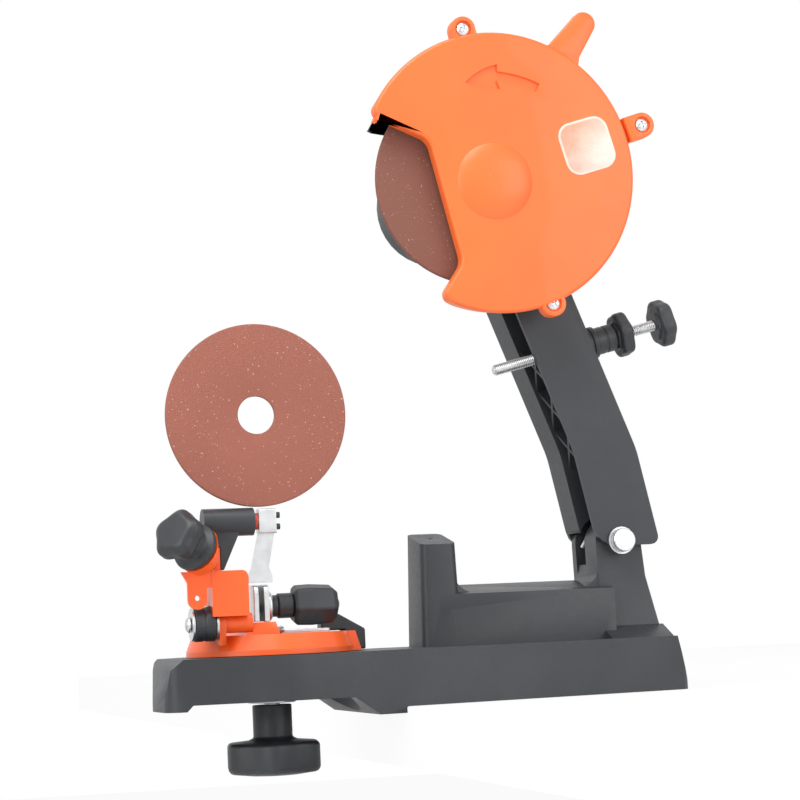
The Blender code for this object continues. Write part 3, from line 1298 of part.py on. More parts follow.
def table_lock():
    """Stud, washer and the lobed knob with its shank under the base."""
    centre = (TABLE_X, 0, 0)
    middle = KNOB_TOP_Z - KNOB_T / 2
    stud = rod("lock_stud", STUD_R, centre, UPWARDS, middle, TABLE_TOP - TABLE_RIM - GAP, PIN_STEPS)
    tidy(stud, steel, centre)
    roof = BASE_FRONT_LIFT - GAP
    washer = tube("lock_washer", WASHER_R, STUD_R + GAP, centre, UPWARDS, roof - WASHER_T, roof, PIN_STEPS)
    tidy(washer, steel, centre)
    low = KNOB_TOP_Z - KNOB_T
    knob = lobed_knob("lock_knob", lobed(KNOB_R, KNOB_LOBE, 6), KNOB_CHAMFER, centre, UPWARDS,
                      low, KNOB_TOP_Z)
    shank_top = roof - WASHER_T - SHANK_GAP
    join(knob, rod("shank", SHANK_R, centre, UPWARDS, KNOB_TOP_Z - KNOB_T / 4, shank_top, PIN_STEPS))
    cut(knob, rod("bore", STUD_R + GAP, centre, UPWARDS, middle - GAP, shank_top + CUT, PIN_STEPS))
    return tidy(knob, black, (TABLE_X, 0, KNOB_TOP_Z))


def jaw(name, x_low):
    """A steel jaw plate with a bore for the clamp screw and a rounded top."""
    y_low = JAW_Y - JAW_LEN / 2
    outline = rounded([(y_low, JAW_LOW_Z), (y_low + JAW_LEN, JAW_LOW_Z), (y_low + JAW_LEN, JAW_HIGH_Z),
                       (y_low, JAW_HIGH_Z)], [0, 0, JAW_CORNER_R, JAW_CORNER_R], 5)
    made = prism(name, outline, "X", x_low, x_low + JAW_T)
    cut(made, rod("bore", CLAMP_R + GAP, (x_low, CLAMP_Y, CLAMP_Z), ALONG_X, -CUT, JAW_T + CUT, PIN_STEPS))
    return tidy(made, steel)


def clamp_part(name, profile, finish, steps=PIN_STEPS):
    """A turned piece on the clamp screw's axis, measured from the moving jaw."""
    seat = (JAW_X + JAW_GAP / 2 + JAW_T, CLAMP_Y, CLAMP_Z)
    made = turned(name, profile, seat, ALONG_X, steps, closed=True)
    return tidy(made, finish, (JAW_X, CLAMP_Y, CLAMP_Z))


def chain_vise():
    """Two jaws on the pedestal, closed by a nut, collar, sleeve and hexagonal knob."""
    jaw("fixed_jaw", JAW_X - JAW_GAP / 2 - JAW_T)
    jaw("moving_jaw", JAW_X + JAW_GAP / 2)
    bore = CLAMP_R + GAP
    nut_low = GAP
    nut_high = nut_low + CLAMP_NUT_T
    edge = CLAMP_NUT_T / 5
    clamp_part("clamp_nut", [(CLAMP_NUT_R - edge, nut_low), (CLAMP_NUT_R, nut_low + edge),
                             (CLAMP_NUT_R, nut_high - edge), (CLAMP_NUT_R - edge, nut_high),
                             (bore, nut_high), (bore, nut_low)], steel)
    collar_high = nut_high + GAP + COLLAR_LEN
    clamp_part("clamp_collar", [(COLLAR_R, nut_high + GAP), (COLLAR_R, collar_high),
                                (bore, collar_high), (bore, nut_high + GAP)], black)
    sleeve_high = collar_high + GAP + CLAMP_SLEEVE_LEN
    clamp_part("clamp_sleeve", [(CLAMP_SLEEVE_R, collar_high + GAP), (CLAMP_SLEEVE_R, sleeve_high),
                                (bore, sleeve_high), (bore, collar_high + GAP)], black)
    low = sleeve_high + GAP
    high = low + HEX_LEN
    corner = HEX_R / HEX_SHARE
    thin = (HEX_R - HEX_TAPER) / HEX_SHARE
    hole = bore / HEX_SHARE
    neck = low + HEX_SHOULDER
    clamp_part("clamp_knob", [(corner - HEX_TAPER, low), (corner, low + HEX_TAPER), (corner, neck),
                              (thin, neck + HEX_STEP), (thin, high - HEX_TAPER),
                              (thin - HEX_TAPER, high), (hole, high), (hole, low)], black, 6)
    start = JAW_X - JAW_GAP / 2 - JAW_T
    end = JAW_X + JAW_GAP / 2 + JAW_T + high + CLAMP_TIP_LEN
    screw = rod("clamp_screw", CLAMP_R, (0, CLAMP_Y, CLAMP_Z), ALONG_X, start, end, PIN_STEPS)
    tidy(screw, steel)


def plate_screw_spot():
    """Where the axis of the support plate's small screw meets the bench plane."""
    return PLATE_X0 + PLATE_SCREW_R * 2, CLAMP_Y + PLATE_W / 2 + PLATE_SCREW_R * 2, 0


def support_plate():
    """The grey plate under the clamp knob, with the screw that holds it."""
    low = TABLE_TOP + GAP
    y_low = CLAMP_Y - PLATE_W / 2
    y_high = plate_screw_spot()[1] + PLATE_SCREW_R * 2
    outline = rounded([(PLATE_X0, y_low), (PLATE_X1, y_low), (PLATE_X1, y_high), (PLATE_X0, y_high)],
                      [PLATE_T] * 4, 3)
    made = prism("support_plate", outline, "Z", low, low + PLATE_T)
    spot = plate_screw_spot()
    cut(made, rod("hole", PLATE_SCREW_R / 2 + GAP, spot, UPWARDS, low - CUT, low + PLATE_T + CUT, 12))
    tidy(made, steel)
    tip = low - PLATE_SCREW_LEN + GAP * 2
    head = low + PLATE_T + GAP
    crown = head + PLATE_SCREW_T
    profile = [(0, tip), (PLATE_SCREW_R / 2, tip), (PLATE_SCREW_R / 2, head), (PLATE_SCREW_R, head),
               (PLATE_SCREW_R, head + PLATE_SCREW_T * HEAD_FLAT_SHARE),
               (PLATE_SCREW_R * HEAD_FLAT_SHARE, crown), (0, crown)]
    tidy(turned("plate_screw", profile, spot, UPWARDS, 12), steel)


def hinge_stack():
    """Bolt, washers and the black bush of the chain stop's hinge, along X."""
    centre = (0, HINGE_Y, HINGE_Z)
    bore = BOLT_R + GAP
    head_high = BUSH_X - HINGE_WASHER_T - 2 * GAP
    bolt_end = BARREL_X1 - GAP
    profile = domed_head(BOLT_HEAD_R, BOLT_HEAD_T, head_high)
    profile += [(BOLT_R, head_high), (BOLT_R, bolt_end), (0, bolt_end)]
    tidy(turned("hinge_bolt", profile, centre, ALONG_X, 16), steel)
    for name, low in (("hinge_washer_outer", BUSH_X - GAP - HINGE_WASHER_T),
                      ("hinge_washer_inner", BUSH_X + BUSH_LEN + GAP)):
        tidy(tube(name, HINGE_WASHER_R, bore, centre, ALONG_X, low, low + HINGE_WASHER_T, PIN_STEPS), steel)
    groove = BUSH_R - GAP * 2
    middle = BUSH_X + BUSH_LEN / 2
    profile = [(BUSH_R, BUSH_X), (BUSH_R, middle - GAP * 2), (groove, middle), (BUSH_R, middle + GAP * 2),
               (BUSH_R, BUSH_X + BUSH_LEN), (bore, BUSH_X + BUSH_LEN), (bore, BUSH_X)]
    tidy(turned("hinge_bush", profile, centre, ALONG_X, PIN_STEPS, closed=True), black)


def stop_bracket():
    """The orange swinging bracket: block, barrel on the bolt, ear plate and fin."""
    y_low = HINGE_Y - BLOCK_DEPTH / 2
    block_outline = rounded(
        [(BLOCK_X0, BLOCK_Z0), (BLOCK_X1, BLOCK_Z0), (BLOCK_X1, BLOCK_Z1), (BLOCK_X0, BLOCK_Z1)],
        [0, 0, BLOCK_CORNER_R, 0], 5)
    made = prism("stop_bracket", block_outline, "Y", y_low, y_low + BLOCK_DEPTH)
    barrel_low = hinge_lug_x() + COLLAR_LUG_T + GAP
    barrel = rod("barrel", BARREL_R, (0, HINGE_Y, HINGE_Z), ALONG_X, barrel_low, BARREL_X1, PIN_STEPS)
    ear_x1 = EAR_PLATE_X0 + EAR_PLATE_W
    slot_top = BLOCK_Z1 - (BLOCK_Z1 - BLOCK_Z0) * EAR_PLATE_SHARE
    half = EAR_PLATE_W / 2
    plate_outline = [(BLOCK_X0 + CUT, slot_top), (ear_x1, slot_top)]
    plate_outline += circle(EAR_PLATE_X0 + half, EAR_PLATE_Z0 + half, half, 10, 0, -math.pi)
    plate_outline += [
        (EAR_PLATE_X0, BLOCK_Z1 - EAR_PLATE_SLOPE),
        (EAR_PLATE_X0 - EAR_PLATE_T, BLOCK_Z1),
        (BLOCK_X0 + CUT, BLOCK_Z1 - GAP),
    ]
    plate = prism("ear", plate_outline, "Y", y_low + GAP, y_low + GAP + EAR_PLATE_T)
    fin_outline = [(BLOCK_X0 + CUT, BLOCK_Z1 - CUT), (FIN_X + FIN_T, BLOCK_Z1 - CUT),
                   (FIN_X + FIN_T, FIN_Z), (FIN_X + FIN_T / 2, FIN_Z), (FIN_X, BLOCK_Z1 + FIN_T)]
    fin = prism("fin", fin_outline, "Y", HINGE_Y - STOP_ARM_WEB_T / 2, HINGE_Y + STOP_ARM_WEB_T / 2)
    boss_profile = [(0, -GAP), (STAR_BOSS_R, -GAP), (STAR_BOSS_R, -STAR_BOSS_T),
                    (STAR_BOSS_TAIL_R, -STAR_BOSS_LEN), (0, -STAR_BOSS_LEN)]
    boss = turned("boss", boss_profile, STAR_ROOT, STAR_AIM, PIN_STEPS)
    reach = STAR_BOSS_R * 2
    far = (FIN_X + reach, HINGE_Y + reach, FIN_Z + reach)
    cut(boss, box("arm_room", (FIN_X, HINGE_Y - reach, BLOCK_Z1 - reach), far),
        box("barrel_room",
            (STOP_ARM_X0 - GAP * 2, HINGE_Y - STOP_ARM_R - GAP, STOP_ARM_Z - STOP_ARM_R - FIN_T), far))
    room = rod("room", BUSH_R + 2 * GAP, (0, HINGE_Y, HINGE_Z), ALONG_X, BUSH_X - CUT, barrel_low, PIN_STEPS)
    cut(made, room)
    join(made, barrel, plate, fin, boss)
    bolt = rod("bolt", BOLT_R + GAP, (0, HINGE_Y, HINGE_Z), ALONG_X,
               barrel_low - CUT, BARREL_X1 + CUT, PIN_STEPS)
    hole_spot = (EAR_PLATE_X0 + half, y_low, EAR_PLATE_Z0 + SPRING_HOLE_RISE)
    hole = rod("hole", SPRING_HOLE_R, hole_spot, TOWARDS_Y, -CUT, EAR_PLATE_T + CUT, 12)
    stud = rod("stud", STAR_STUD_R + GAP, STAR_ROOT, STAR_AIM, -STAR_STUD_LEN - GAP * 3, CUT, 16)
    cut(made, bolt, hole, stud)
    return tidy(made, orange, (hinge_lug_x(), HINGE_Y, HINGE_Z))


def star_knob():
    """The lobed lock knob of the chain stop: star, neck, round skirt and stud."""
    low = STAR_SKIRT_T + STAR_NECK_LEN
    knob = lobed_knob("star_knob", lobed(STAR_R, STAR_LOBE, 5), STAR_CHAMFER, STAR_ROOT, STAR_AIM,
                      low, low + STAR_T)
    profile = [(0, 0), (STAR_SKIRT_R - STAR_LOBE, 0), (STAR_SKIRT_R, STAR_SKIRT_T / 2),
               (STAR_SKIRT_R - STAR_LOBE, STAR_SKIRT_T), (STAR_NECK_R, STAR_SKIRT_T),
               (STAR_NECK_R, low + CUT), (0, low + CUT)]
    skirt = turned("skirt", profile, STAR_ROOT, STAR_AIM, PIN_STEPS)
    stud = rod("stud", STAR_STUD_R, STAR_ROOT, STAR_AIM, -STAR_STUD_LEN, CUT, 12)
    join(knob, skirt, stud)
    return tidy(knob, black, STAR_ROOT)


def stop_arm():
    """The black arm that carries the pawl: a barrel on a tapering web."""
    barrel = rod("stop_arm", STOP_ARM_R, (0, HINGE_Y, STOP_ARM_Z), ALONG_X,
                 STOP_ARM_X0, STOP_ARM_X1, PIN_STEPS)
    foot_x = FIN_X + FIN_T + GAP
    outline = [
        (foot_x, STOP_ARM_FOOT_Z),
        (foot_x + STOP_WEB_FOOT, STOP_ARM_FOOT_Z),
        (STOP_ARM_X1 - STOP_WEB_END, STOP_ARM_Z - STOP_WEB_UNDER),
        (STOP_ARM_X0 + GAP, STOP_ARM_Z - STOP_WEB_BACK),
        (STOP_ARM_X0 + FIN_T, STOP_ARM_Z - STOP_WEB_KNEE),
        (foot_x, FIN_Z + GAP),
    ]
    web = prism("web", outline, "Y", HINGE_Y - STOP_ARM_WEB_T / 2, HINGE_Y + STOP_ARM_WEB_T / 2)
    join(barrel, web)
    pin = rod("pin", PAWL_PIN_R + GAP, (STOP_ARM_X1, HINGE_Y, STOP_ARM_Z), ALONG_X, -PAWL_PIN_LEN, CUT, 16)
    cut(barrel, pin)
    return tidy(barrel, black)


def pawl_group():
    """The bright pawl on its pin, the red washer and its two small screws."""
    centre = (0, HINGE_Y, STOP_ARM_Z)
    washer = tube("pawl_washer", PAWL_WASHER_R, PAWL_PIN_R + GAP, centre, ALONG_X,
                  STOP_ARM_X1 + GAP, PAWL_X0 - GAP, PIN_STEPS)
    tidy(washer, red)
    pin = rod("pawl_pin", PAWL_PIN_R, centre, ALONG_X, STOP_ARM_X1 - PAWL_PIN_LEN + GAP,
              PAWL_X0 + PAWL_W - PAWL_T, 16)
    tidy(pin, steel)
    half = PAWL_BLOCK_H / 2
    depth = PAWL_DEPTH / 2
    block_outline = rounded([(HINGE_Y - depth, STOP_ARM_Z - half), (HINGE_Y + depth, STOP_ARM_Z - half),
                             (HINGE_Y + depth, STOP_ARM_Z + half), (HINGE_Y - depth, STOP_ARM_Z + half)],
                            [PAWL_T / 2] * 4, 3)
    block = prism("stop_pawl", block_outline, "X", PAWL_X0, PAWL_X0 + PAWL_W)
    shoulder = PAWL_FOOT_Z + PAWL_SHOULDER
    x0, x1 = PAWL_X0, PAWL_X0 + PAWL_W
    lean = PAWL_LEAN
    spread = PAWL_SPREAD
    strip_outline = [
        (x0 - lean - spread, PAWL_FOOT_Z), (x1 - lean + spread, PAWL_FOOT_Z),
        (x1 - lean + spread, shoulder - PAWL_T), (x1 - lean, shoulder + PAWL_T),
        (x1 - GAP, STOP_ARM_Z - half + PAWL_T), (x0 + GAP, STOP_ARM_Z - half + PAWL_T),
        (x0 - lean, shoulder + PAWL_T), (x0 - lean - spread, shoulder - PAWL_T),
    ]
    strip = prism("strip", strip_outline, "Y", HINGE_Y - PAWL_T / 2, HINGE_Y + PAWL_T / 2)
    join(block, strip)
    cut(block, rod("bore", PAWL_PIN_R + GAP, (PAWL_X0, HINGE_Y, STOP_ARM_Z), ALONG_X,
                   -CUT, PAWL_W - PAWL_T + GAP, 16))
    for index, rise in enumerate((PAWL_SCREW_PITCH / 2, -PAWL_SCREW_PITCH / 2)):
        spot = (PAWL_X0 + PAWL_W, HINGE_Y, STOP_ARM_Z + rise)
        cut(block, rod("tapped", PAWL_SHANK_R + GAP, spot, ALONG_X, -PAWL_T + GAP * 2, CUT, 12))
        profile = [(0, -PAWL_T + GAP * 3), (PAWL_SHANK_R, -PAWL_T + GAP * 3), (PAWL_SHANK_R, GAP),
                   (PAWL_SCREW_R, GAP), (PAWL_SCREW_R, PAWL_SCREW_L), (0, PAWL_SCREW_L)]
        tidy(turned(f"pawl_screw_{index + 1}", profile, spot, ALONG_X, 12), black)
    return tidy(block, steel, (PAWL_X0, HINGE_Y, STOP_ARM_Z))


def spare_disc():
    """The spare disc, on edge on the chain stop's barrel as the photograph shows it."""
    z = STOP_ARM_Z + STOP_ARM_R + GAP + SPARE_R
    made = tube("spare_disc", SPARE_R, SPARE_BORE_R, (SPARE_X, HINGE_Y, z), TOWARDS_Y,
                -SPARE_T / 2, SPARE_T / 2, RIM_STEPS)
    return tidy(made, abrasive)


base_casting()
pivot_group()
return_spring()
swing_arm()
motor_cover()
switch_and_inlet()
motor()
disc_group()
rear_shield()
disc_guard()
guard_screws()
stop_screw_group()
table_plate()
table_grip()
table_lock()
chain_vise()
support_plate()
hinge_stack()
stop_bracket()
star_knob()
stop_arm()
pawl_group()
spare_disc()
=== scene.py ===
import itertools
import math

import bmesh
import bpy
import numpy as np
from mathutils import Matrix, Vector


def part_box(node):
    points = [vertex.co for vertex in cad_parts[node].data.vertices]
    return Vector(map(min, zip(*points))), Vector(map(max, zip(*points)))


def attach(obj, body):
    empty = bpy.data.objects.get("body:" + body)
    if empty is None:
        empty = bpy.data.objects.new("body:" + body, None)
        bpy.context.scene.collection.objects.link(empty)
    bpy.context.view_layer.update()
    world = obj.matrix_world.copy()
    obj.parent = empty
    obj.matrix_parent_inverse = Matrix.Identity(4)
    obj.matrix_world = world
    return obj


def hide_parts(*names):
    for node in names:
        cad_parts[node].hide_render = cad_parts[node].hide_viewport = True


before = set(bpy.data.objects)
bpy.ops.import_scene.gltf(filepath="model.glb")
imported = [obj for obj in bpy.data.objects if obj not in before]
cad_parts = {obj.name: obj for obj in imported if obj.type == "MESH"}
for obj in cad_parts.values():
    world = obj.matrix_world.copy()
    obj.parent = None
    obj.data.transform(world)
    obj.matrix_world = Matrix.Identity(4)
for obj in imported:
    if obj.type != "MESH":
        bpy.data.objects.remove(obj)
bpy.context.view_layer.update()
scene = bpy.context.scene
MM = 0.001

# The view
# The camera stands low and well to the left of the open side of the guard, a
# little over a metre away, and is rolled so that the bench line climbs to the
# right as it does in the photograph.
CAMERA_AT = (-0.3250, -1.2317, 0.0429)
CAMERA_YAW = math.radians(-15.0)
CAMERA_PITCH = math.radians(-5.0)
CAMERA_ROLL = math.radians(2.5)
LENS_MM = 112.5


def camera_axes():
    """Right, up and back of the camera: turned by yaw, tipped by pitch, then rolled."""
    back = Vector((math.sin(CAMERA_YAW) * math.cos(CAMERA_PITCH),
                   -math.cos(CAMERA_YAW) * math.cos(CAMERA_PITCH), math.sin(CAMERA_PITCH)))
    level = Vector((math.cos(CAMERA_YAW), math.sin(CAMERA_YAW), 0))
    upright = back.cross(level)
    right = math.cos(CAMERA_ROLL) * level - math.sin(CAMERA_ROLL) * upright
    return right, back.cross(right), back


lens = bpy.data.cameras.new("camera")
lens.lens = LENS_MM
lens.clip_end = 20
camera = bpy.data.objects.new("camera", lens)
scene.collection.objects.link(camera)
camera.matrix_world = Matrix.Translation(CAMERA_AT) @ Matrix(camera_axes()).transposed().to_4x4()
scene.camera = camera
scene.view_settings.view_transform = "Standard"


class Value:
    """A shader socket in an expression: arithmetic on it adds Math nodes."""

    def __init__(self, board, socket):
        self.board = board
        self.socket = socket

    def math(self, operation, *others):
        return self.board.node("ShaderNodeMath", {"operation": operation}, self, *others)[0]

    def __add__(self, other):
        return self.math("ADD", other)

    def __sub__(self, other):
        return self.math("SUBTRACT", other)

    def __mul__(self, other):
        return self.math("MULTIPLY", other)

    def __neg__(self):
        return self * -1

    def __rsub__(self, other):
        return -self + other

    __radd__ = __add__
    __rmul__ = __mul__

    def step(self, low, high):
        """0 below low, 1 above high, and a smooth slope between."""
        settings = {"interpolation_type": "SMOOTHSTEP"}
        return self.board.node("ShaderNodeMapRange", settings, self, low, high, 0.0, 1.0)[0]


class Board:
    """The node board of one finish, with its Principled shader."""

    def __init__(self, name, colour, roughness, metallic=0.0):
        self.material = bpy.data.materials.new(name)
        self.material.use_nodes = True
        self.tree = self.material.node_tree
        self.shader = self.tree.nodes["Principled BSDF"]
        self.feed("Base Color", (*colour, 1.0))
        self.feed("Roughness", roughness)
        self.feed("Metallic", metallic)
        self.material.diffuse_color = (*colour, 1.0)

    def node(self, kind, settings, *sockets, **named):
        """Add a node, set it, then fill its inputs in order or by name; returns its outputs."""
        made = self.tree.nodes.new(kind)
        for key, setting in settings.items():
            setattr(made, key, setting)
        for key, value in [*enumerate(sockets), *named.items()]:
            self.fill(made.inputs[key], value)
        return [Value(self, output) for output in made.outputs]

    def fill(self, socket, value):
        if isinstance(value, Value):
            self.tree.links.new(value.socket, socket)
        else:
            socket.default_value = value

    def feed(self, name, value):
        self.fill(self.shader.inputs[name], value)

    def place(self, scale=(1, 1, 1)):
        """Object coordinates in metres, stretched by scale."""
        spot = self.node("ShaderNodeTexCoord", {})[3]
        if scale == (1, 1, 1):
            return spot
        return self.node("ShaderNodeMapping", {}, spot, Scale=scale)[0]

    def grain(self, size, detail=3.0, spot=None):
        """Noise with features of one size, from 0 to 1."""
        spot = spot or self.place()
        return self.node("ShaderNodeTexNoise", {}, Vector=spot, Scale=1 / size, Detail=detail)[0]

    def blend(self, share, low, high):
        """A colour between two, by share."""
        made = self.tree.nodes.new("ShaderNodeMix")
        made.data_type = "RGBA"
        for key, value in ((0, share), (6, low), (7, high)):
            value = (*value, 1.0) if isinstance(value, tuple) and len(value) == 3 else value
            self.fill(made.inputs[key], value)
        return Value(self, made.outputs[2])

    def bump(self, height, depth):
        """Raise the surface by height times depth in metres."""
        return self.node("ShaderNodeBump", {}, Height=height, Distance=depth, Strength=1.0)[0]


# Bench and light
# A white bench carries the base up to the lip, and the lock knob hangs in front
# of it. Soft white boxes stand above and on both sides, as for a catalogue shot.
PAPER = (0.93, 0.93, 0.93)
PAPER_GLOW = 0.90
SKY_DIM = 0.55
BENCH_EDGE_X = -7.6 * MM
BENCH_TOP_Z = -0.3 * MM
BENCH_FAR = 1.2
BENCH_THICK = 30.0 * MM
FLOOR_Z = -0.42
ROOM = 6.0
MIDDLE = (0.02, 0.0, 0.16)


def white_board():
    """Camera rays take nine tenths of pure white; the tenth left over keeps the shadows."""
    board = Board("white_board", PAPER, 0.9)
    rays = board.node("ShaderNodeLightPath", {})
    seen = board.tree.nodes.new("ShaderNodeEmission")
    seen.inputs["Color"].default_value = (1, 1, 1, 1)
    seen.inputs["Strength"].default_value = 1.0
    mix = board.tree.nodes.new("ShaderNodeMixShader")
    board.fill(mix.inputs[0], rays[0] * PAPER_GLOW)
    board.tree.links.new(board.shader.outputs[0], mix.inputs[1])
    board.tree.links.new(seen.outputs[0], mix.inputs[2])
    out = board.tree.nodes["Material Output"]
    board.tree.links.new(mix.outputs[0], out.inputs["Surface"])
    return board.material


def slab(name, low, high, finish):
    """A block between two corners, for the room only."""
    corners = list(itertools.product(*zip(low, high)))
    faces = [(0, 1, 3, 2), (4, 6, 7, 5), (0, 4, 5, 1), (2, 3, 7, 6), (0, 2, 6, 4), (1, 5, 7, 3)]
    mesh = bpy.data.meshes.new(name)
    mesh.from_pydata(corners, [], faces)
    mesh.materials.append(finish)
    made = bpy.data.objects.new(name, mesh)
    scene.collection.objects.link(made)


paper = white_board()
slab("bench", (BENCH_EDGE_X, -BENCH_FAR, BENCH_TOP_Z - BENCH_THICK),
     (BENCH_FAR, BENCH_FAR, BENCH_TOP_Z), paper)
slab("floor", (-ROOM, -ROOM, FLOOR_Z - BENCH_THICK), (ROOM, ROOM, FLOOR_Z), paper)

world = bpy.data.worlds.new("world")
scene.world = world
world.use_nodes = True
sky = world.node_tree
background = sky.nodes["Background"]
background.inputs["Color"].default_value = (1, 1, 1, 1)
paths = sky.nodes.new("ShaderNodeLightPath")
direct = paths.outputs["Is Camera Ray"]
for kind in ("Is Glossy Ray", "Is Transmission Ray"):
    either = sky.nodes.new("ShaderNodeMath")
    either.operation = "MAXIMUM"
    sky.links.new(direct, either.inputs[0])
    sky.links.new(paths.outputs[kind], either.inputs[1])
    direct = either.outputs[0]
level = sky.nodes.new("ShaderNodeMapRange")
level.inputs["To Min"].default_value = SKY_DIM
level.inputs["To Max"].default_value = 1.0
sky.links.new(direct, level.inputs["Value"])
sky.links.new(level.outputs[0], background.inputs["Strength"])


def soft_box(name, at, towards, width, watts):
    """A square area lamp that faces a point."""
    lamp = bpy.data.lights.new(name, "AREA")
    lamp.size = width
    lamp.energy = watts
    made = bpy.data.objects.new(name, lamp)
    scene.collection.objects.link(made)
    made.location = at
    made.rotation_euler = (Vector(towards) - Vector(at)).to_track_quat("-Z", "Y").to_euler()


soft_box("top_box", (-0.35, -0.55, 1.35), MIDDLE, 1.0, 16)
soft_box("left_box", (-1.3, -0.9, 0.5), MIDDLE, 0.9, 9)
soft_box("right_box", (1.0, -1.3, 0.6), MIDDLE, 0.9, 7)


# Black mouldings
# Base, arm, motor housing and the small black pieces are glass-filled nylon:
# nearly black, with a fine spark-eroded grain and a little pale dust.
NYLON = (0.022, 0.025, 0.029)
NYLON_DUSTY = (0.050, 0.054, 0.060)
NYLON_ROUGH = 0.42
WELD = 0.004 * MM
LEVEL_ANGLE = math.radians(1.0)
EDGE_ANGLE = math.radians(32.0)


def nylon(name):
    """Dust lies where noise of 40 mm or of 1.1 mm is high; noise of 0.55 mm raises the grain."""
    board = Board(name, NYLON, NYLON_ROUGH)
    cloud = board.grain(40 * MM, 4.0).step(0.35, 0.75)
    speck = board.grain(1.1 * MM, 2.0).step(0.60, 0.80)
    dusty = cloud * 0.35 + speck * 0.16
    board.feed("Base Color", board.blend(dusty, NYLON, NYLON_DUSTY))
    board.feed("Roughness", board.grain(3 * MM) * 0.14 + (NYLON_ROUGH - 0.07) + cloud * 0.06)
    board.feed("Normal", board.bump(board.grain(0.55 * MM, 2.0), 0.05 * MM))
    return board.material


black = nylon("black_nylon")


def softened(node, name, finish, width):
    """A CAD node's own shape with its edges rounded by width; it stands for the node."""
    bm = bmesh.new()
    bm.from_mesh(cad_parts[node].data)
    bmesh.ops.remove_doubles(bm, verts=bm.verts, dist=WELD)
    bmesh.ops.dissolve_limit(bm, angle_limit=LEVEL_ANGLE, verts=bm.verts, edges=bm.edges)
    mesh = bpy.data.meshes.new(name)
    bm.to_mesh(mesh)
    bm.free()
    mesh.materials.clear()
    mesh.materials.append(finish)
    made = bpy.data.objects.new(name, mesh)
    scene.collection.objects.link(made)
    edge = made.modifiers.new("edge", "BEVEL")
    edge.width = width
    edge.segments = 2
    edge.limit_method = "ANGLE"
    edge.angle_limit = EDGE_ANGLE
    edge.use_clamp_overlap = True
    mesh.shade_smooth()
    mesh.set_sharp_from_angle(angle=EDGE_ANGLE)
    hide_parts(node)
    return made


# Grinding wheels
# Two resin-bonded wheels, 3.2 mm thick: the one on the spindle and the spare on
# the chain stop. Red-brown grit with pale grains, its edge worn a little round.
SKIN_WELD = 0.003 * MM
ON_AXIS = 0.02


def unit(vectors):
    """Each row over its own length."""
    return vectors / np.maximum(np.linalg.norm(vectors, axis=-1, keepdims=True), 1e-9)


def eased(corners, radii, steps=4):
    """Each corner replaced by an arc of its own radius, tangent to both its sides."""
    spots = np.asarray(corners, float)
    size = np.broadcast_to(np.asarray(radii, float), len(spots))[:, None]
    back = unit(np.roll(spots, 1, axis=0) - spots)
    ahead = unit(np.roll(spots, -1, axis=0) - spots)
    half = np.arccos(np.clip((back * ahead).sum(axis=1), -0.9999, 0.9999))[:, None] / 2
    centre = spots + unit(back + ahead) * size / np.sin(half)
    first = spots + back * size / np.tan(half) - centre
    last = spots + ahead * size / np.tan(half) - centre
    sweep = np.maximum(np.pi - 2 * half, 1e-6)[:, None]
    share = np.linspace(0, 1, steps + 1)[None, :, None]
    leaving = np.sin((1 - share) * sweep) * first[:, None]
    arriving = np.sin(share * sweep) * last[:, None]
    return (centre[:, None] + (leaving + arriving) / np.sin(sweep)).reshape(-1, 2)


def skin(name, grid, finish, node=None, body=None, caps=True, sharp=35.0):
    """A closed surface over a grid of points: rows along, columns round, flat ends."""
    grid = np.asarray(grid, float)
    rows, columns = grid.shape[:2]
    index = np.arange(rows * columns).reshape(rows, columns)
    beside = np.roll(index, -1, axis=1)
    quads = np.stack([index[:-1], beside[:-1], beside[1:], index[1:]], axis=-1).reshape(-1, 4).tolist()
    if caps:
        quads += [index[0, ::-1].tolist(), index[-1].tolist()]
    mesh = bpy.data.meshes.new(name)
    mesh.from_pydata(grid.reshape(-1, 3), [], quads)
    bm = bmesh.new()
    bm.from_mesh(mesh)
    bmesh.ops.remove_doubles(bm, verts=bm.verts, dist=SKIN_WELD)
    bmesh.ops.recalc_face_normals(bm, faces=bm.faces)
    bm.to_mesh(mesh)
    bm.free()
    mesh.materials.append(finish)
    mesh.shade_smooth()
    mesh.set_sharp_from_angle(angle=math.radians(sharp))
    made = bpy.data.objects.new(name, mesh)
    scene.collection.objects.link(made)
    if node:
        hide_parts(*([node] if isinstance(node, str) else node))
    if body:
        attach(made, body)
    return made


def aimed(points, centre, direction):
    """Points given round +Z, turned to a direction and moved to a centre."""
    turn = np.array(Vector((0, 0, 1)).rotation_difference(Vector(direction)).to_matrix())
    return np.asarray(points) @ turn.T + np.asarray(centre)


def around(radius, angle, height):
    """Points round +Z: radius times cosine, radius times sine, and the height."""
    across = radius * np.cos(angle)
    return np.stack([across, radius * np.sin(angle), np.broadcast_to(height, across.shape)], -1)


def swept(profile, centre, direction, steps=96, lobes=0, depth=0.0, start=0.0):
    """A profile of (radius, height) turned round an axis; the radius falls by depth between lobes."""
    profile = np.asarray(profile, float)
    angle = start + np.linspace(0, 2 * np.pi, steps, endpoint=False)
    wave = 1 - depth * (1 - np.cos(lobes * (angle - start))) / 2
    return aimed(around(profile[:, :1] * wave, angle, profile[:, 1:]), centre, direction)


def ring(name, corners, radii, centre, direction, finish, node, body, steps=96):
    """A turned ring with a bore: its profile is closed, so it needs no caps."""
    profile = eased(corners, radii)
    profile = np.vstack([profile, profile[:1]])
    return skin(name, swept(profile, centre, direction, steps), finish, node, body, caps=False)


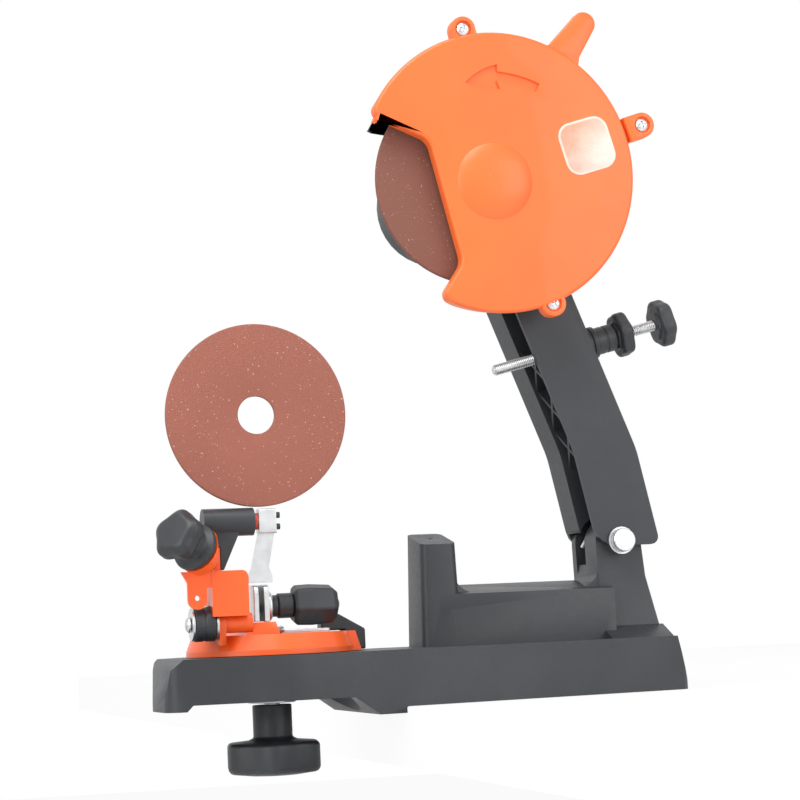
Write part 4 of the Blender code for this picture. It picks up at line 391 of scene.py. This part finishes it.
def grit(name, colour):
    """Noise of 0.8 mm mottles the resin, 0.42 and 0.9 mm pick out pale grains, 0.5 mm pits the skin."""
    board = Board(name, colour, 0.82)
    fine = board.grain(0.8 * MM, 3.0)
    cloud = board.grain(22 * MM, 3.0)
    pale = board.grain(0.42 * MM, 1.0).step(0.70, 0.78)
    spark = board.grain(0.9 * MM, 0.0).step(0.78, 0.82)
    dark = tuple(c * 0.80 for c in colour)
    light = tuple(min(1.0, c * 1.22) for c in colour)
    base = board.blend(fine * 0.7 + cloud * 0.3, dark, light)
    base = board.blend(pale * 0.30, base, (0.62, 0.40, 0.33))
    board.feed("Base Color", board.blend(spark * 0.40, base, (0.80, 0.66, 0.58)))
    board.feed("Roughness", fine * 0.2 + 0.62)
    board.feed("Normal", board.bump(board.grain(0.5 * MM, 3.0), 0.16 * MM))
    return board.material


GRIT = (0.300, 0.098, 0.066)
GRIT_USED = (0.205, 0.075, 0.052)
WHEEL_T = 3.2 * MM
WHEEL_R = 54.0 * MM
WHEEL_BORE_R = 11.5 * MM
SPIN_AT = (51.0 * MM, 0.0, 267.6 * MM)
SPARE_LOW, SPARE_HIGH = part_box("spare_disc")
SPARE_AT = tuple((a + b) / 2 for a, b in zip(SPARE_LOW, SPARE_HIGH))
SPARE_R = (SPARE_HIGH[0] - SPARE_LOW[0]) / 2
SPARE_BORE_R = 9.3 * MM
BORE_EASE = 0.15 * MM
RIM_EASE = 0.7 * MM
Y_AXIS = (0, 1, 0)


def wheel(name, outer, bore, centre, finish, node, body):
    """A flat ring with its outer edge worn round."""
    half = WHEEL_T / 2
    corners = [(bore, -half), (outer, -half), (outer, half), (bore, half)]
    ease = [BORE_EASE, RIM_EASE, RIM_EASE, BORE_EASE]
    ring(name, corners, ease, centre, Y_AXIS, finish, node, body, 200)


wheel("grinding_wheel", WHEEL_R, WHEEL_BORE_R, SPIN_AT, grit("grit_used", GRIT_USED),
      "grinding_disc", "spindle")
wheel("spare_wheel", SPARE_R, SPARE_BORE_R, SPARE_AT, grit("grit_new", GRIT), "spare_disc", "spare")


# Bright steel
# Zinc-plated screws, jaws, pin and nuts: pale grey with soft cloudy plating,
# fine scratches and a slight loss of shine where fingers have been.
def plated(name, colour=(0.70, 0.71, 0.72), roughness=0.26, metallic=1.0):
    """Noise of 6 mm clouds the shine; noise stretched thin along Y gives scratches."""
    board = Board(name, colour, roughness, metallic)
    cloud = board.grain(6 * MM, 3.0)
    scratch = board.grain(1.0, 2.0, board.place((2600, 190, 2600)))
    board.feed("Base Color", board.blend(cloud.step(0.3, 0.7), tuple(c * 0.86 for c in colour), colour))
    board.feed("Roughness", cloud * 0.22 + (roughness - 0.10) + scratch * 0.10)
    board.feed("Normal", board.bump(scratch, 0.012 * MM))
    return board.material


zinc = plated("zinc")
dull_zinc = plated("dull_zinc", (0.60, 0.62, 0.64), 0.40)
copper = plated("copper", (0.70, 0.32, 0.15), 0.38)
lamination = plated("lamination", (0.34, 0.35, 0.37), 0.45)


# Orange mouldings
# The guard is a light orange, the turntable and the chain-stop bracket a deeper
# one; both are satin plastic whose tone drifts a little, with fine pale specks.
def satin(name, colour, deep, roughness):
    """Noise of 60 mm drifts between two oranges, 1.4 mm sets pale specks, 0.6 mm roughens the skin."""
    board = Board(name, colour, roughness)
    drift = board.grain(60 * MM, 2.0).step(0.3, 0.7)
    speck = board.grain(1.4 * MM, 2.0).step(0.68, 0.80)
    tone = board.blend(drift * 0.5, colour, deep)
    board.feed("Base Color", board.blend(speck * 0.10, tone, (1.0, 0.62, 0.42)))
    board.feed("Roughness", board.grain(7 * MM, 3.0) * 0.14 + (roughness - 0.07))
    board.feed("Normal", board.bump(board.grain(0.6 * MM, 2.0), 0.022 * MM))
    board.feed("Coat Weight", 0.12)
    return board.material


guard_orange = satin("guard_orange", (0.94, 0.165, 0.028), (0.88, 0.125, 0.020), 0.42)
vise_orange = satin("vise_orange", (0.94, 0.125, 0.016), (0.86, 0.095, 0.012), 0.34)
fibre = satin("fibre", (0.60, 0.06, 0.04), (0.45, 0.04, 0.03), 0.6)


# Guard
# A shallow cup with a rolled edge and a notch that bares the wheel, and a black
# plate behind it. A turned-back wall follows the notch, a curved arrow is sunk
# into the face, and a low dome clears the spindle's nut.
GUARD_X = 60.3 * MM
GUARD_Z = 270.8 * MM
GUARD_R = 73.6 * MM
GUARD_FRONT = -12.6 * MM
GUARD_BACK = 6.5 * MM
GUARD_WALL = 2.4 * MM
GUARD_ROLL = 2.0 * MM
GUARD_DRAFT = 2.4 * MM
GUARD_LIP = 0.5 * MM
NOTCH_BACK = -4.6 * MM
NOTCH_TIPS = (math.radians(155.7), math.radians(242.3))
NOTCH_MIDDLE = ((-0.862, 0.385), (-0.500, 0.225), (-0.295, -0.640))
NOTCH_SWEEP_R = 30 * MM
NOTCH_BEND_R = 9.0 * MM
TIP_R = 4.6 * MM
TIP_ROOM = 2.2
ARROW_TIP = (-16.4, 46.7)
ARROW_TOP = (1.2, 56.3)
ARROW_LOW = (2.3, 43.5)
ARROW_PULLS = ((-9.0, 54.2), (-7.5, 42.6))
ARROW_BEND = (-4.0, -12.0)
ARROW_BAND = (60.0, 64.8)
ARROW_SWEEP = (85.5, 64.5)
ARROW_LEVELS = ((-1.0, -0.30), (0.0, -0.05), (1.3, 0.10))
SHIELD_SHIFT = 2.4 * MM
SHIELD_LEVELS = ((6.9, 4.4), (7.2, 4.1), (9.6, 4.1), (9.9, 4.4))
DOME_X = 57.5 * MM
DOME_Z = 265.9 * MM
DOME_R = 20.0 * MM
DOME_RISE = 3.6 * MM
DOME_FOOT = 0.6 * MM
DOME_TOP_R = 0.05 * MM


def guard_outline():
    """The guard's circle closed by the notch, and which of its points lie on the notch."""
    keep = math.asin(TIP_R * TIP_ROOM / GUARD_R)
    angle = np.linspace(NOTCH_TIPS[1] + keep, NOTCH_TIPS[0] - keep + 2 * np.pi, 150)
    rim = np.stack([np.cos(angle), np.sin(angle)], axis=-1) * GUARD_R
    tips = [(math.cos(a) * GUARD_R, math.sin(a) * GUARD_R) for a in NOTCH_TIPS]
    notch = [tips[0]] + [(x * GUARD_R, z * GUARD_R) for x, z in NOTCH_MIDDLE] + [tips[1]]
    corners = np.vstack([rim, notch])
    notch_radii = [TIP_R, NOTCH_SWEEP_R, NOTCH_BEND_R, NOTCH_BEND_R, TIP_R]
    radii = np.concatenate([np.zeros(len(rim)), notch_radii])
    steps = 8
    line = eased(corners, radii, steps)
    on_notch = np.repeat(np.arange(len(corners)) >= len(rim), steps + 1)
    apart = np.linalg.norm(line - np.roll(line, 1, axis=0), axis=1) > 0.05 * MM
    return line[apart], on_notch[apart]


def outward(line):
    """Unit normals of a counter-clockwise outline, from the chord across each point."""
    chord = unit(np.roll(line, -1, axis=0) - np.roll(line, 1, axis=0))
    return np.stack([chord[:, 1], -chord[:, 0]], axis=-1)


def lofted(line, levels):
    """For each level of (height, inset), the outline set in by the inset, as (u, v, height) points."""
    normal = outward(line)
    rows = []
    for height, inset in levels:
        rows.append(np.column_stack([line - normal * inset, np.broadcast_to(height, len(line))]))
    return np.stack(rows)


def levels_from(front, levels):
    """Levels given in millimetres behind a front, turned into metres."""
    return [(front + height * MM, inset * MM) for height, inset in levels]


def upright(grid, x, z):
    """(u, v, w) points stood up: u along X, v along Z and w along Y."""
    return np.stack([grid[..., 0] + x, grid[..., 2], grid[..., 1] + z], axis=-1)


def quarter(edge, roll, steps=6):
    """Levels of a rolled front edge: from the flat face round to the side wall."""
    turn = np.linspace(0, np.pi / 2, steps + 1)
    return [(edge + roll * (1 - math.cos(a)), roll * (1 - math.sin(a))) for a in turn]


def guard_shell():
    """Outer skin from face to rim, then the inner skin back to the inside of the face."""
    line, on_notch = guard_outline()
    back = np.where(on_notch, NOTCH_BACK, GUARD_BACK)
    draft = np.where(on_notch, 0.0, GUARD_DRAFT)[:, None]
    inside = GUARD_FRONT + GUARD_WALL
    levels = quarter(GUARD_FRONT, GUARD_ROLL)
    levels += [(back - GUARD_LIP, draft), (back, draft + GUARD_LIP)]
    levels += [(back, draft + GUARD_WALL - GUARD_LIP), (back - GUARD_LIP, draft + GUARD_WALL)]
    levels += [(inside + GUARD_LIP, GUARD_WALL), (inside, GUARD_WALL + GUARD_LIP)]
    return upright(lofted(line, levels), GUARD_X, GUARD_Z)


def pulled(start, pull, end):
    """A curve from start to end, pulled aside by twice the share times what is left of it."""
    share = np.linspace(0, 1, 14)[:, None]
    return (1 - share) ** 2 * start + 2 * share * (1 - share) * np.array(pull) * MM + share ** 2 * end


def arrow_outline():
    """A curved arrow: a leaf-shaped head on a band bent about a point below it."""
    tip, top, low = np.array([ARROW_TIP, ARROW_TOP, ARROW_LOW]) * MM
    upper = pulled(tip, ARROW_PULLS[0], top)
    lower = pulled(low, ARROW_PULLS[1], tip)
    bend = np.array(ARROW_BEND) * MM
    turn = np.radians(np.linspace(*ARROW_SWEEP, 14))[:, None]
    outer = bend + ARROW_BAND[1] * MM * np.hstack([np.cos(turn), np.sin(turn)])
    inner = bend + ARROW_BAND[0] * MM * np.hstack([np.cos(turn[::-1]), np.sin(turn[::-1])])
    return np.vstack([upper, outer, inner, lower[:-1]])[::-1]


def carved(target, tool):
    """Take a closed tool out of a piece and keep the result as plain mesh."""
    step = target.modifiers.new("cut", "BOOLEAN")
    step.operation = "DIFFERENCE"
    step.solver = "EXACT"
    step.object = tool
    bpy.context.view_layer.update()
    graph = bpy.context.evaluated_depsgraph_get()
    result = bpy.data.meshes.new_from_object(target.evaluated_get(graph))
    target.modifiers.clear()
    target.data = result
    bpy.data.objects.remove(tool, do_unlink=True)
    result.materials.clear()


guard = skin("guard_cover", guard_shell(), guard_orange)
sunk = lofted(arrow_outline(), levels_from(GUARD_FRONT, ARROW_LEVELS))
carved(guard, skin("arrow_tool", upright(sunk, GUARD_X, GUARD_Z), guard_orange))
guard.data.materials.append(guard_orange)
guard.data.shade_smooth()
guard.data.set_sharp_from_angle(angle=math.radians(35))
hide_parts("disc_guard")
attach(guard, "head")

plate = lofted(guard_outline()[0], levels_from(0.0, SHIELD_LEVELS))
skin("shield_plate", upright(plate, GUARD_X + SHIELD_SHIFT, GUARD_Z), black,
     "rear_shield", "head")

swell = np.linspace(0, np.pi / 2, 14)
dome = np.stack([DOME_R * np.cos(swell) ** 0.8, -DOME_RISE * np.sin(swell) ** 1.6], -1)
dome = np.vstack([[DOME_R, DOME_FOOT], dome[:-1], [DOME_TOP_R, -DOME_RISE]])
skin("guard_dome", swept(dome, (DOME_X, GUARD_FRONT, DOME_Z), Y_AXIS, 120), guard_orange,
     None, "head")


# Guard ears, screws and thumb tab
# Three ears level with the face take cross-head screws in counterbores; the flat
# tab with a round end lifts the guard.
EAR_R = 6.6 * MM
EAR_NECK = 9.0 * MM
EAR_FRONT = -12.4 * MM
EAR_BACK = -4.4 * MM
EAR_SOFT = 0.7 * MM
EAR_SPOTS = ((44.4, 345.8), (140.3, 296.2), (86.6, 201.9))
SINK_R = 4.3 * MM
SINK_DEEP = 1.6 * MM
SINK_EASE = 0.4 * MM
HEAD_R = 3.3 * MM
HEAD_RISE = 1.5 * MM
HEAD_FALL = 0.55
CROSS_HALF = 0.15
CROSS_HALF_SOFT = 0.05
CROSS_REACH = 0.62
CROSS_REACH_SOFT = 0.12
CROSS_DEEP = 0.62
FORWARD = (0, -1, 0)
TAB_TURN = math.radians(57.5)
TAB_REACH = 93.8 * MM
TAB_END_R = 6.3 * MM
TAB_RIGHT = ((68.0, -14.5), (72.0, -9.0), (77.0, -6.9))
TAB_LEFT = ((74.0, 10.2), (68.0, 14.5))
TAB_LEVELS = ((6.4, 0.0), (1.6, 0.0), (1.1, 0.15), (0.8, 0.6))


def ear(x, z):
    """A round eye on a short neck towards the guard's centre, sunk in front for the screw."""
    inward = math.atan2(GUARD_Z - z, GUARD_X - x)
    angle = np.linspace(0, 2 * np.pi, 96, endpoint=False)
    off = np.cos(angle - inward)
    side = np.maximum(np.abs(np.sin(angle - inward)), 1e-3)
    neck = np.minimum(EAR_R / side, EAR_NECK / np.maximum(off, 1e-3))
    reach = np.where(off > 0, neck, EAR_R)
    seat = EAR_FRONT + SINK_DEEP
    levels = [(reach, EAR_BACK), (reach, EAR_FRONT + EAR_SOFT),
              (reach - EAR_SOFT * 0.3, EAR_FRONT + EAR_SOFT * 0.3), (reach - EAR_SOFT, EAR_FRONT),
              (SINK_R + SINK_EASE, EAR_FRONT), (SINK_R, EAR_FRONT + SINK_EASE),
              (SINK_R, seat), (0.1 * MM, seat)]
    rows = [around(radius, angle, height) for radius, height in levels]
    return upright(np.stack(rows), x, z)


def cross_head(x, z, twist):
    """A domed screw head in its counterbore; the dome falls where either arm of the cross runs."""
    rings = np.linspace(0.0, 1.0, 26)[:, None] ** 0.8
    angle = np.linspace(0, 2 * np.pi, 96, endpoint=False)
    u = np.abs(rings * np.cos(angle + twist))
    v = np.abs(rings * np.sin(angle + twist))
    arms = [np.clip((CROSS_HALF - across) / CROSS_HALF_SOFT, 0, 1)
            * np.clip((CROSS_REACH - along) / CROSS_REACH_SOFT, 0, 1)
            for across, along in ((v, u), (u, v))]
    dome = HEAD_RISE * (1 - HEAD_FALL * rings ** 3.2) - CROSS_DEEP * HEAD_RISE * np.maximum(*arms)
    grid = np.concatenate([around(HEAD_R * rings, angle, dome), around(HEAD_R, angle, 0.0)[None]])
    return aimed(grid, (x, EAR_FRONT + SINK_DEEP, z), FORWARD)


def thumb_tab():
    """A flat tongue: two straight sides from the rim to a round end, edges eased."""
    along = np.array([math.cos(TAB_TURN), math.sin(TAB_TURN)])
    side = np.array([-along[1], along[0]])
    arc = np.linspace(-np.pi / 2, np.pi / 2, 24) + TAB_TURN
    end = along * TAB_REACH + TAB_END_R * np.stack([np.cos(arc), np.sin(arc)], -1)
    right = [(along * far + side * off) * MM for far, off in TAB_RIGHT]
    left = [(along * far + side * off) * MM for far, off in TAB_LEFT]
    line = np.vstack([right, end, left])
    return upright(lofted(line, levels_from(EAR_FRONT, TAB_LEVELS)), GUARD_X, GUARD_Z)


for count, (x, z) in enumerate(np.array(EAR_SPOTS) * MM):
    skin(f"guard_ear_{count + 1}", ear(x, z), guard_orange, None, "head")
    skin(f"guard_ear_screw_{count + 1}", cross_head(x, z, 0.3 + count), zinc,
         f"guard_screw_{count + 1}", "head", sharp=50)
skin("thumb_tab", thumb_tab(), guard_orange, None, "head")


# Bare patch on the guard
# A clear rounded square set flat into the face: pale gloss, lighter along its
# border, with nothing on it.
PATCH_X = 108.7 * MM
PATCH_Z = 284.8 * MM
PATCH_HALF = 14.0 * MM
PATCH_CORNER = 7.5 * MM
PATCH_TURN = math.radians(16.0)
PATCH_SIGNS = ((-1, -1), (1, -1), (1, 1), (-1, 1))
PATCH_LEVELS = ((0.5, 0.0), (-0.10, 0.0), (-0.22, 0.25))


def patch_gloss():
    """Pale pink drifts to white across the patch, and a paler border follows its rounded edge."""
    board = Board("patch_gloss", (0.97, 0.66, 0.56), 0.14)
    spot = board.node("ShaderNodeMapping", {"vector_type": "TEXTURE"}, board.place(),
                      (PATCH_X, 0, PATCH_Z), (0, -PATCH_TURN, 0), (1, 1, 1))[0]
    u, _, v = board.node("ShaderNodeSeparateXYZ", {}, spot)[:3]
    inner = PATCH_HALF - PATCH_CORNER
    over_u = (u.math("ABSOLUTE") - inner).math("MAXIMUM", 0.0)
    over_v = (v.math("ABSOLUTE") - inner).math("MAXIMUM", 0.0)
    far = (over_u * over_u + over_v * over_v).math("SQRT")
    border = far.step(PATCH_CORNER - 1.5 * MM, PATCH_CORNER - 0.8 * MM)
    drift = (u * 22.0 - v * 26.0 + board.grain(9 * MM, 2.0) * 0.7).step(-0.2, 0.9)
    tone = board.blend(drift, (0.86, 0.33, 0.22), (0.90, 0.66, 0.58))
    board.feed("Base Color", board.blend(border * 0.75, tone, (0.92, 0.72, 0.64)))
    board.feed("Roughness", board.grain(2 * MM) * 0.10 + 0.22)
    board.feed("Coat Weight", 0.15)
    return board.material


square = eased(np.array(PATCH_SIGNS) * PATCH_HALF, PATCH_CORNER, 12)
cosine = math.cos(PATCH_TURN)
sine = math.sin(PATCH_TURN)
turned = square @ np.array([[cosine, sine], [-sine, cosine]])
patch = upright(lofted(turned, levels_from(GUARD_FRONT, PATCH_LEVELS)), PATCH_X, PATCH_Z)
skin("guard_patch", patch, patch_gloss(), None, "head")


# Depth stop
# A plated M6 screw through the arm, cut with a real 1 mm thread, with a ribbed
# sleeve, a lobed lock wheel and a lobed end wheel on it.
STOP_TIP = np.array((63.0, 24.0, 171.0)) * MM
STOP_TILT = math.radians(14.2)
STOP_AXIS = np.array((math.cos(STOP_TILT), 0, math.sin(STOP_TILT)))
STOP_LONG = 99.0 * MM
SCREW_R = 3.0 * MM
THREAD = 1.0 * MM
THREAD_DEEP = 0.42 * MM
THREAD_CHAMFER = 0.9 * MM
THREAD_END = 0.72
SLEEVE = ((4.8, 49.0), (4.8, 56.0), (8.6, 56.0), (8.6, 59.0), (7.3, 59.0), (7.3, 63.5),
          (6.9, 63.8), (6.9, 64.6), (7.3, 65.0), (7.3, 70.0), (3.3, 70.0), (3.3, 49.0))
SLEEVE_EASE = (0.2, 0.2, 0.6, 0.6, 0.3, 0.1, 0.1, 0.1, 0.1, 0.7, 0.3, 0.3)
WHEEL_WEB = 0.62
WHEEL_HUB = 0.70
WHEEL_LOBES = 6
WHEEL_WAVE = 0.09


def threaded(name, centre, direction, long, node, body):
    """The radius falls by a triangle wave of height over pitch minus angle; both ends are chamfered."""
    height = np.arange(0, long + THREAD / 12, THREAD / 6)
    angle = np.linspace(0, 2 * np.pi, 24, endpoint=False)
    phase = (height[:, None] / THREAD - angle / (2 * np.pi)) % 1.0
    groove = 1 - np.abs(2 * phase - 1)
    chamfer = np.clip(np.minimum(height, long - height) / THREAD_CHAMFER, 0, 1)[:, None]
    reach = (SCREW_R - THREAD_DEEP * groove) * (THREAD_END + (1 - THREAD_END) * chamfer)
    grid = aimed(around(reach, angle, height[:, None]), centre, direction)
    return skin(name, grid, zinc, node, body, sharp=60)


def handwheel(name, node, body, radius, low, high, soft, start):
    """A wheel on the depth screw whose radius swells into lobes, with both edges rounded by soft."""
    dish = soft * 0.5
    small = soft * 0.3
    web = radius * WHEEL_WEB
    hub = radius * WHEEL_HUB
    corners = [(ON_AXIS * MM, low), (web, low), (hub, low + dish), (radius, low + dish),
               (radius, high - dish), (hub, high - dish), (web, high), (ON_AXIS * MM, high)]
    profile = eased(corners, [0, small, small, soft, soft, small, small, 0], 6)
    grid = swept(profile, STOP_TIP, STOP_AXIS, 168, WHEEL_LOBES, WHEEL_WAVE, start)
    return skin(name, grid, black, node, body)


threaded("stop_thread", STOP_TIP, STOP_AXIS, STOP_LONG, "depth_screw", "stop_screw")
ring("ribbed_sleeve", np.array(SLEEVE) * MM, np.array(SLEEVE_EASE) * MM, STOP_TIP, STOP_AXIS, black,
     "depth_sleeve", "head")
handwheel("lock_wheel", "depth_lock_wheel", "stop_lock",
          radius=12.3 * MM, low=70.3 * MM, high=79.3 * MM, soft=2.0 * MM, start=0.4)
handwheel("end_wheel", "depth_end_wheel", "stop_wheel",
          radius=12.8 * MM, low=94.0 * MM, high=104.0 * MM, soft=2.2 * MM, start=0.9)


# Turntable lock knob
# A six-lobed knob with a dished underside on a long shank, screwed up from below.
LOCK_AT = (-68.0 * MM, 0.0, 0.0)
LOCK_PROFILE = ((ON_AXIS, -31.0), (13.0, -31.5), (24.9, -30.0), (24.9, -15.4),
                (12.6, -14.2), (9.8, -13.0), (9.8, 3.2), (ON_AXIS, 3.2))
LOCK_EASE = (0.0, 4.0, 3.2, 2.4, 2.0, 1.6, 0.6, 0.0)
Z_AXIS = (0, 0, 1)


def lobed(corners, ease, steps, lobes, depth, start, inner, band):
    """A turned profile in millimetres whose rim falls by depth between lobes and whose hub stays round."""
    profile = eased(np.array(corners) * MM, np.array(ease) * MM, steps)
    widest = max(corner[0] for corner in corners) * MM
    angle = np.linspace(0, 2 * np.pi, 192, endpoint=False)
    share = np.clip((profile[:, :1] / widest - inner) / band, 0, 1)
    reach = profile[:, :1] * (1 - depth * share * (1 - np.cos(lobes * (angle - start))) / 2)
    return around(reach, angle, profile[:, 1:])


knob = lobed(LOCK_PROFILE, LOCK_EASE, 6, lobes=6, depth=0.095, start=0.35, inner=0.45, band=0.5)
skin("lock_knob_body", aimed(knob, LOCK_AT, Z_AXIS), black, "lock_knob", "table_lock")


# Star knob of the chain stop
# A domed cap with five soft lobes over a round skirt, tipped towards the user.
STAR_AT = np.array((-110.2, -41.7, 80.5)) * MM
STAR_AIM = (-0.664, -0.624, 0.412)
CAP_PROFILE = ((ON_AXIS, 11.5), (11.0, 11.5), (13.0, 14.0), (12.9, 18.5), (9.5, 21.6), (ON_AXIS, 22.6))
CAP_EASE = (0.0, 1.2, 1.5, 3.0, 5.0, 0.0)
SKIRT_PROFILE = ((ON_AXIS, 0.2), (10.2, 0.2), (12.0, 1.6), (11.6, 3.4), (8.2, 5.4), (7.6, 12.5),
                 (ON_AXIS, 12.5))
SKIRT_EASE = (0.0, 0.5, 0.9, 0.9, 1.5, 0.5, 0.0)
cap = lobed(CAP_PROFILE, CAP_EASE, 8, lobes=5, depth=0.13, start=-0.5, inner=0.3, band=0.6)
skin("star_cap", aimed(cap, STAR_AT, STAR_AIM), black, "star_knob", "star")
skirt = eased(np.array(SKIRT_PROFILE) * MM, np.array(SKIRT_EASE) * MM)
skin("star_skirt", swept(skirt, STAR_AT, STAR_AIM), black, None, "star")


# Clamp knob and its screw
# A hexagonal knob with a flared shoulder, on a plated screw that closes the jaws.
CLAMP_Y = -12.0 * MM
CLAMP_Z = 52.0 * MM
X_AXIS = (1, 0, 0)
HEX_LOW, HEX_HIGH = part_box("clamp_knob")
HEX_CORNER = 0.965
HEX_TURN = 0.3
HEX_ROUND = 0.35
HEX_BLEND = 0.2
SCREW_LOW, SCREW_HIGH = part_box("clamp_screw")


def hexagonal(corners, ease):
    """A turned profile whose radius follows a hexagon with eased corners; its middle stays round."""
    profile = eased(corners, np.array(ease) * MM, 5)
    angle = np.linspace(0, 2 * np.pi, 144, endpoint=False)
    folded = (angle + HEX_TURN) % (np.pi / 3) - np.pi / 6
    shape = np.minimum(math.cos(np.pi / 6) / np.cos(folded), HEX_CORNER)
    widest = max(corner[0] for corner in corners)
    share = np.clip((profile[:, :1] / widest - HEX_ROUND) / HEX_BLEND, 0, 1)
    return around(profile[:, :1] * (1 - share * (1 - shape)), angle, profile[:, 1:])


start = HEX_LOW[0]
end = HEX_HIGH[0]
handle = hexagonal([(ON_AXIS * MM, start), (9.0 * MM, start), (10.6 * MM, start + 1.6 * MM),
                    (10.9 * MM, start + 9 * MM), (10.2 * MM, end - 2.6 * MM), (7.6 * MM, end),
                    (ON_AXIS * MM, end)], [0.0, 0.6, 1.2, 5.0, 1.5, 0.8, 0.0])
skin("clamp_handle", aimed(handle, (0, CLAMP_Y, CLAMP_Z), X_AXIS), black,
     "clamp_knob", "clamp")
threaded("clamp_thread", (SCREW_LOW[0], CLAMP_Y, CLAMP_Z), X_AXIS, SCREW_HIGH[0] - SCREW_LOW[0],
         "clamp_screw", "table")


# Return spring
# A torsion spring of 2.2 mm wire round the pivot, seen between the tower's ears.
WIRE_R = 1.1 * MM
COIL_X = 124.8 * MM
COIL_Z = 79.0 * MM
COIL_R = 7.4 * MM
COIL_TURNS = 3
COIL_START = math.radians(150)
COIL_LEG = 7.0 * MM
SPRING_LOW, SPRING_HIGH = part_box("return_spring")


def coil_path():
    """A helix about Y between the spring's two ends, with a straight leg at each of them."""
    turns = np.linspace(0, 2 * np.pi * COIL_TURNS, 180)
    rise = (SPRING_HIGH[1] - SPRING_LOW[1] - 2 * WIRE_R) * turns / turns[-1]
    path = np.stack([COIL_X + COIL_R * np.cos(COIL_START + turns), SPRING_LOW[1] + WIRE_R + rise,
                     COIL_Z + COIL_R * np.sin(COIL_START + turns)], -1)
    leg = np.array([math.sin(COIL_START), 0, -math.cos(COIL_START)]) * COIL_LEG
    return np.vstack([path[:1] + leg, path, path[-1:] - leg])


def wire(path, radius):
    """A round wire along a path: circles in the plane across the path at each point."""
    along = unit(np.gradient(path, axis=0))
    side = unit(np.cross(along, (0, 1, 0.02)))
    other = np.cross(along, side)
    angle = np.linspace(0, 2 * np.pi, 14, endpoint=False)[None, :, None]
    return path[:, None] + radius * (np.cos(angle) * side[:, None] + np.sin(angle) * other[:, None])


skin("spring_coil", wire(coil_path(), WIRE_R), dull_zinc, "return_spring", "base", sharp=60)


# Pieces that keep their CAD form
# Castings, plates and pins whose shape is already true get rounded edges and
# their finish: black nylon, deep orange or plated steel.
DRESSED = {
    "base": (("base_casting", black, 0.9), ("pivot_pin", zinc, 0.6), ("lock_washer", zinc, 0.25)),
    "head": (("arm_casting", black, 0.6), ("motor_cover", black, 0.6), ("switch_frame", black, 0.35),
             ("cable_inlet", black, 0.3)),
    "rocker": (("switch_rocker", black, 0.5),),
    "spindle": (("inner_flange", zinc, 0.3), ("outer_flange", zinc, 0.3), ("spindle_nut", zinc, 0.4)),
    "table": (("turntable_plate", vise_orange, 0.6), ("table_grip", black, 0.8),
              ("support_plate", dull_zinc, 0.3), ("fixed_jaw", zinc, 0.35), ("hinge_bush", black, 0.4),
              ("hinge_bolt", zinc, 0.3), ("hinge_washer_outer", zinc, 0.2),
              ("hinge_washer_inner", zinc, 0.2)),
    "jaw": (("moving_jaw", zinc, 0.35), ("clamp_nut", zinc, 0.3), ("clamp_collar", black, 0.3),
            ("clamp_sleeve", black, 0.5)),
    "bracket": (("stop_bracket", vise_orange, 0.7),),
    "stop": (("stop_arm", black, 0.6),),
    "pawl": (("stop_pawl", zinc, 0.35),),
}
for body, pieces in DRESSED.items():
    for node, finish, width in pieces:
        piece = softened(node, node + "_dressed", finish, width * MM)
        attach(piece, body)


# Solids that nothing stands for
# Pins, small screws and the motor's inside keep their CAD mesh and take a plain
# finish by the name of the material they came with.
PLAIN = {"black_plastic": black, "orange_plastic": vise_orange, "zinc_steel": zinc, "winding_copper": copper,
         "motor_core": lamination, "abrasive": lamination, "red_fibre": fibre}
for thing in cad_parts.values():
    kept = thing.data.materials[0].name.split(".")[0] if thing.data.materials else "zinc_steel"
    thing.data.materials.clear()
    thing.data.materials.append(PLAIN.get(kept, zinc))
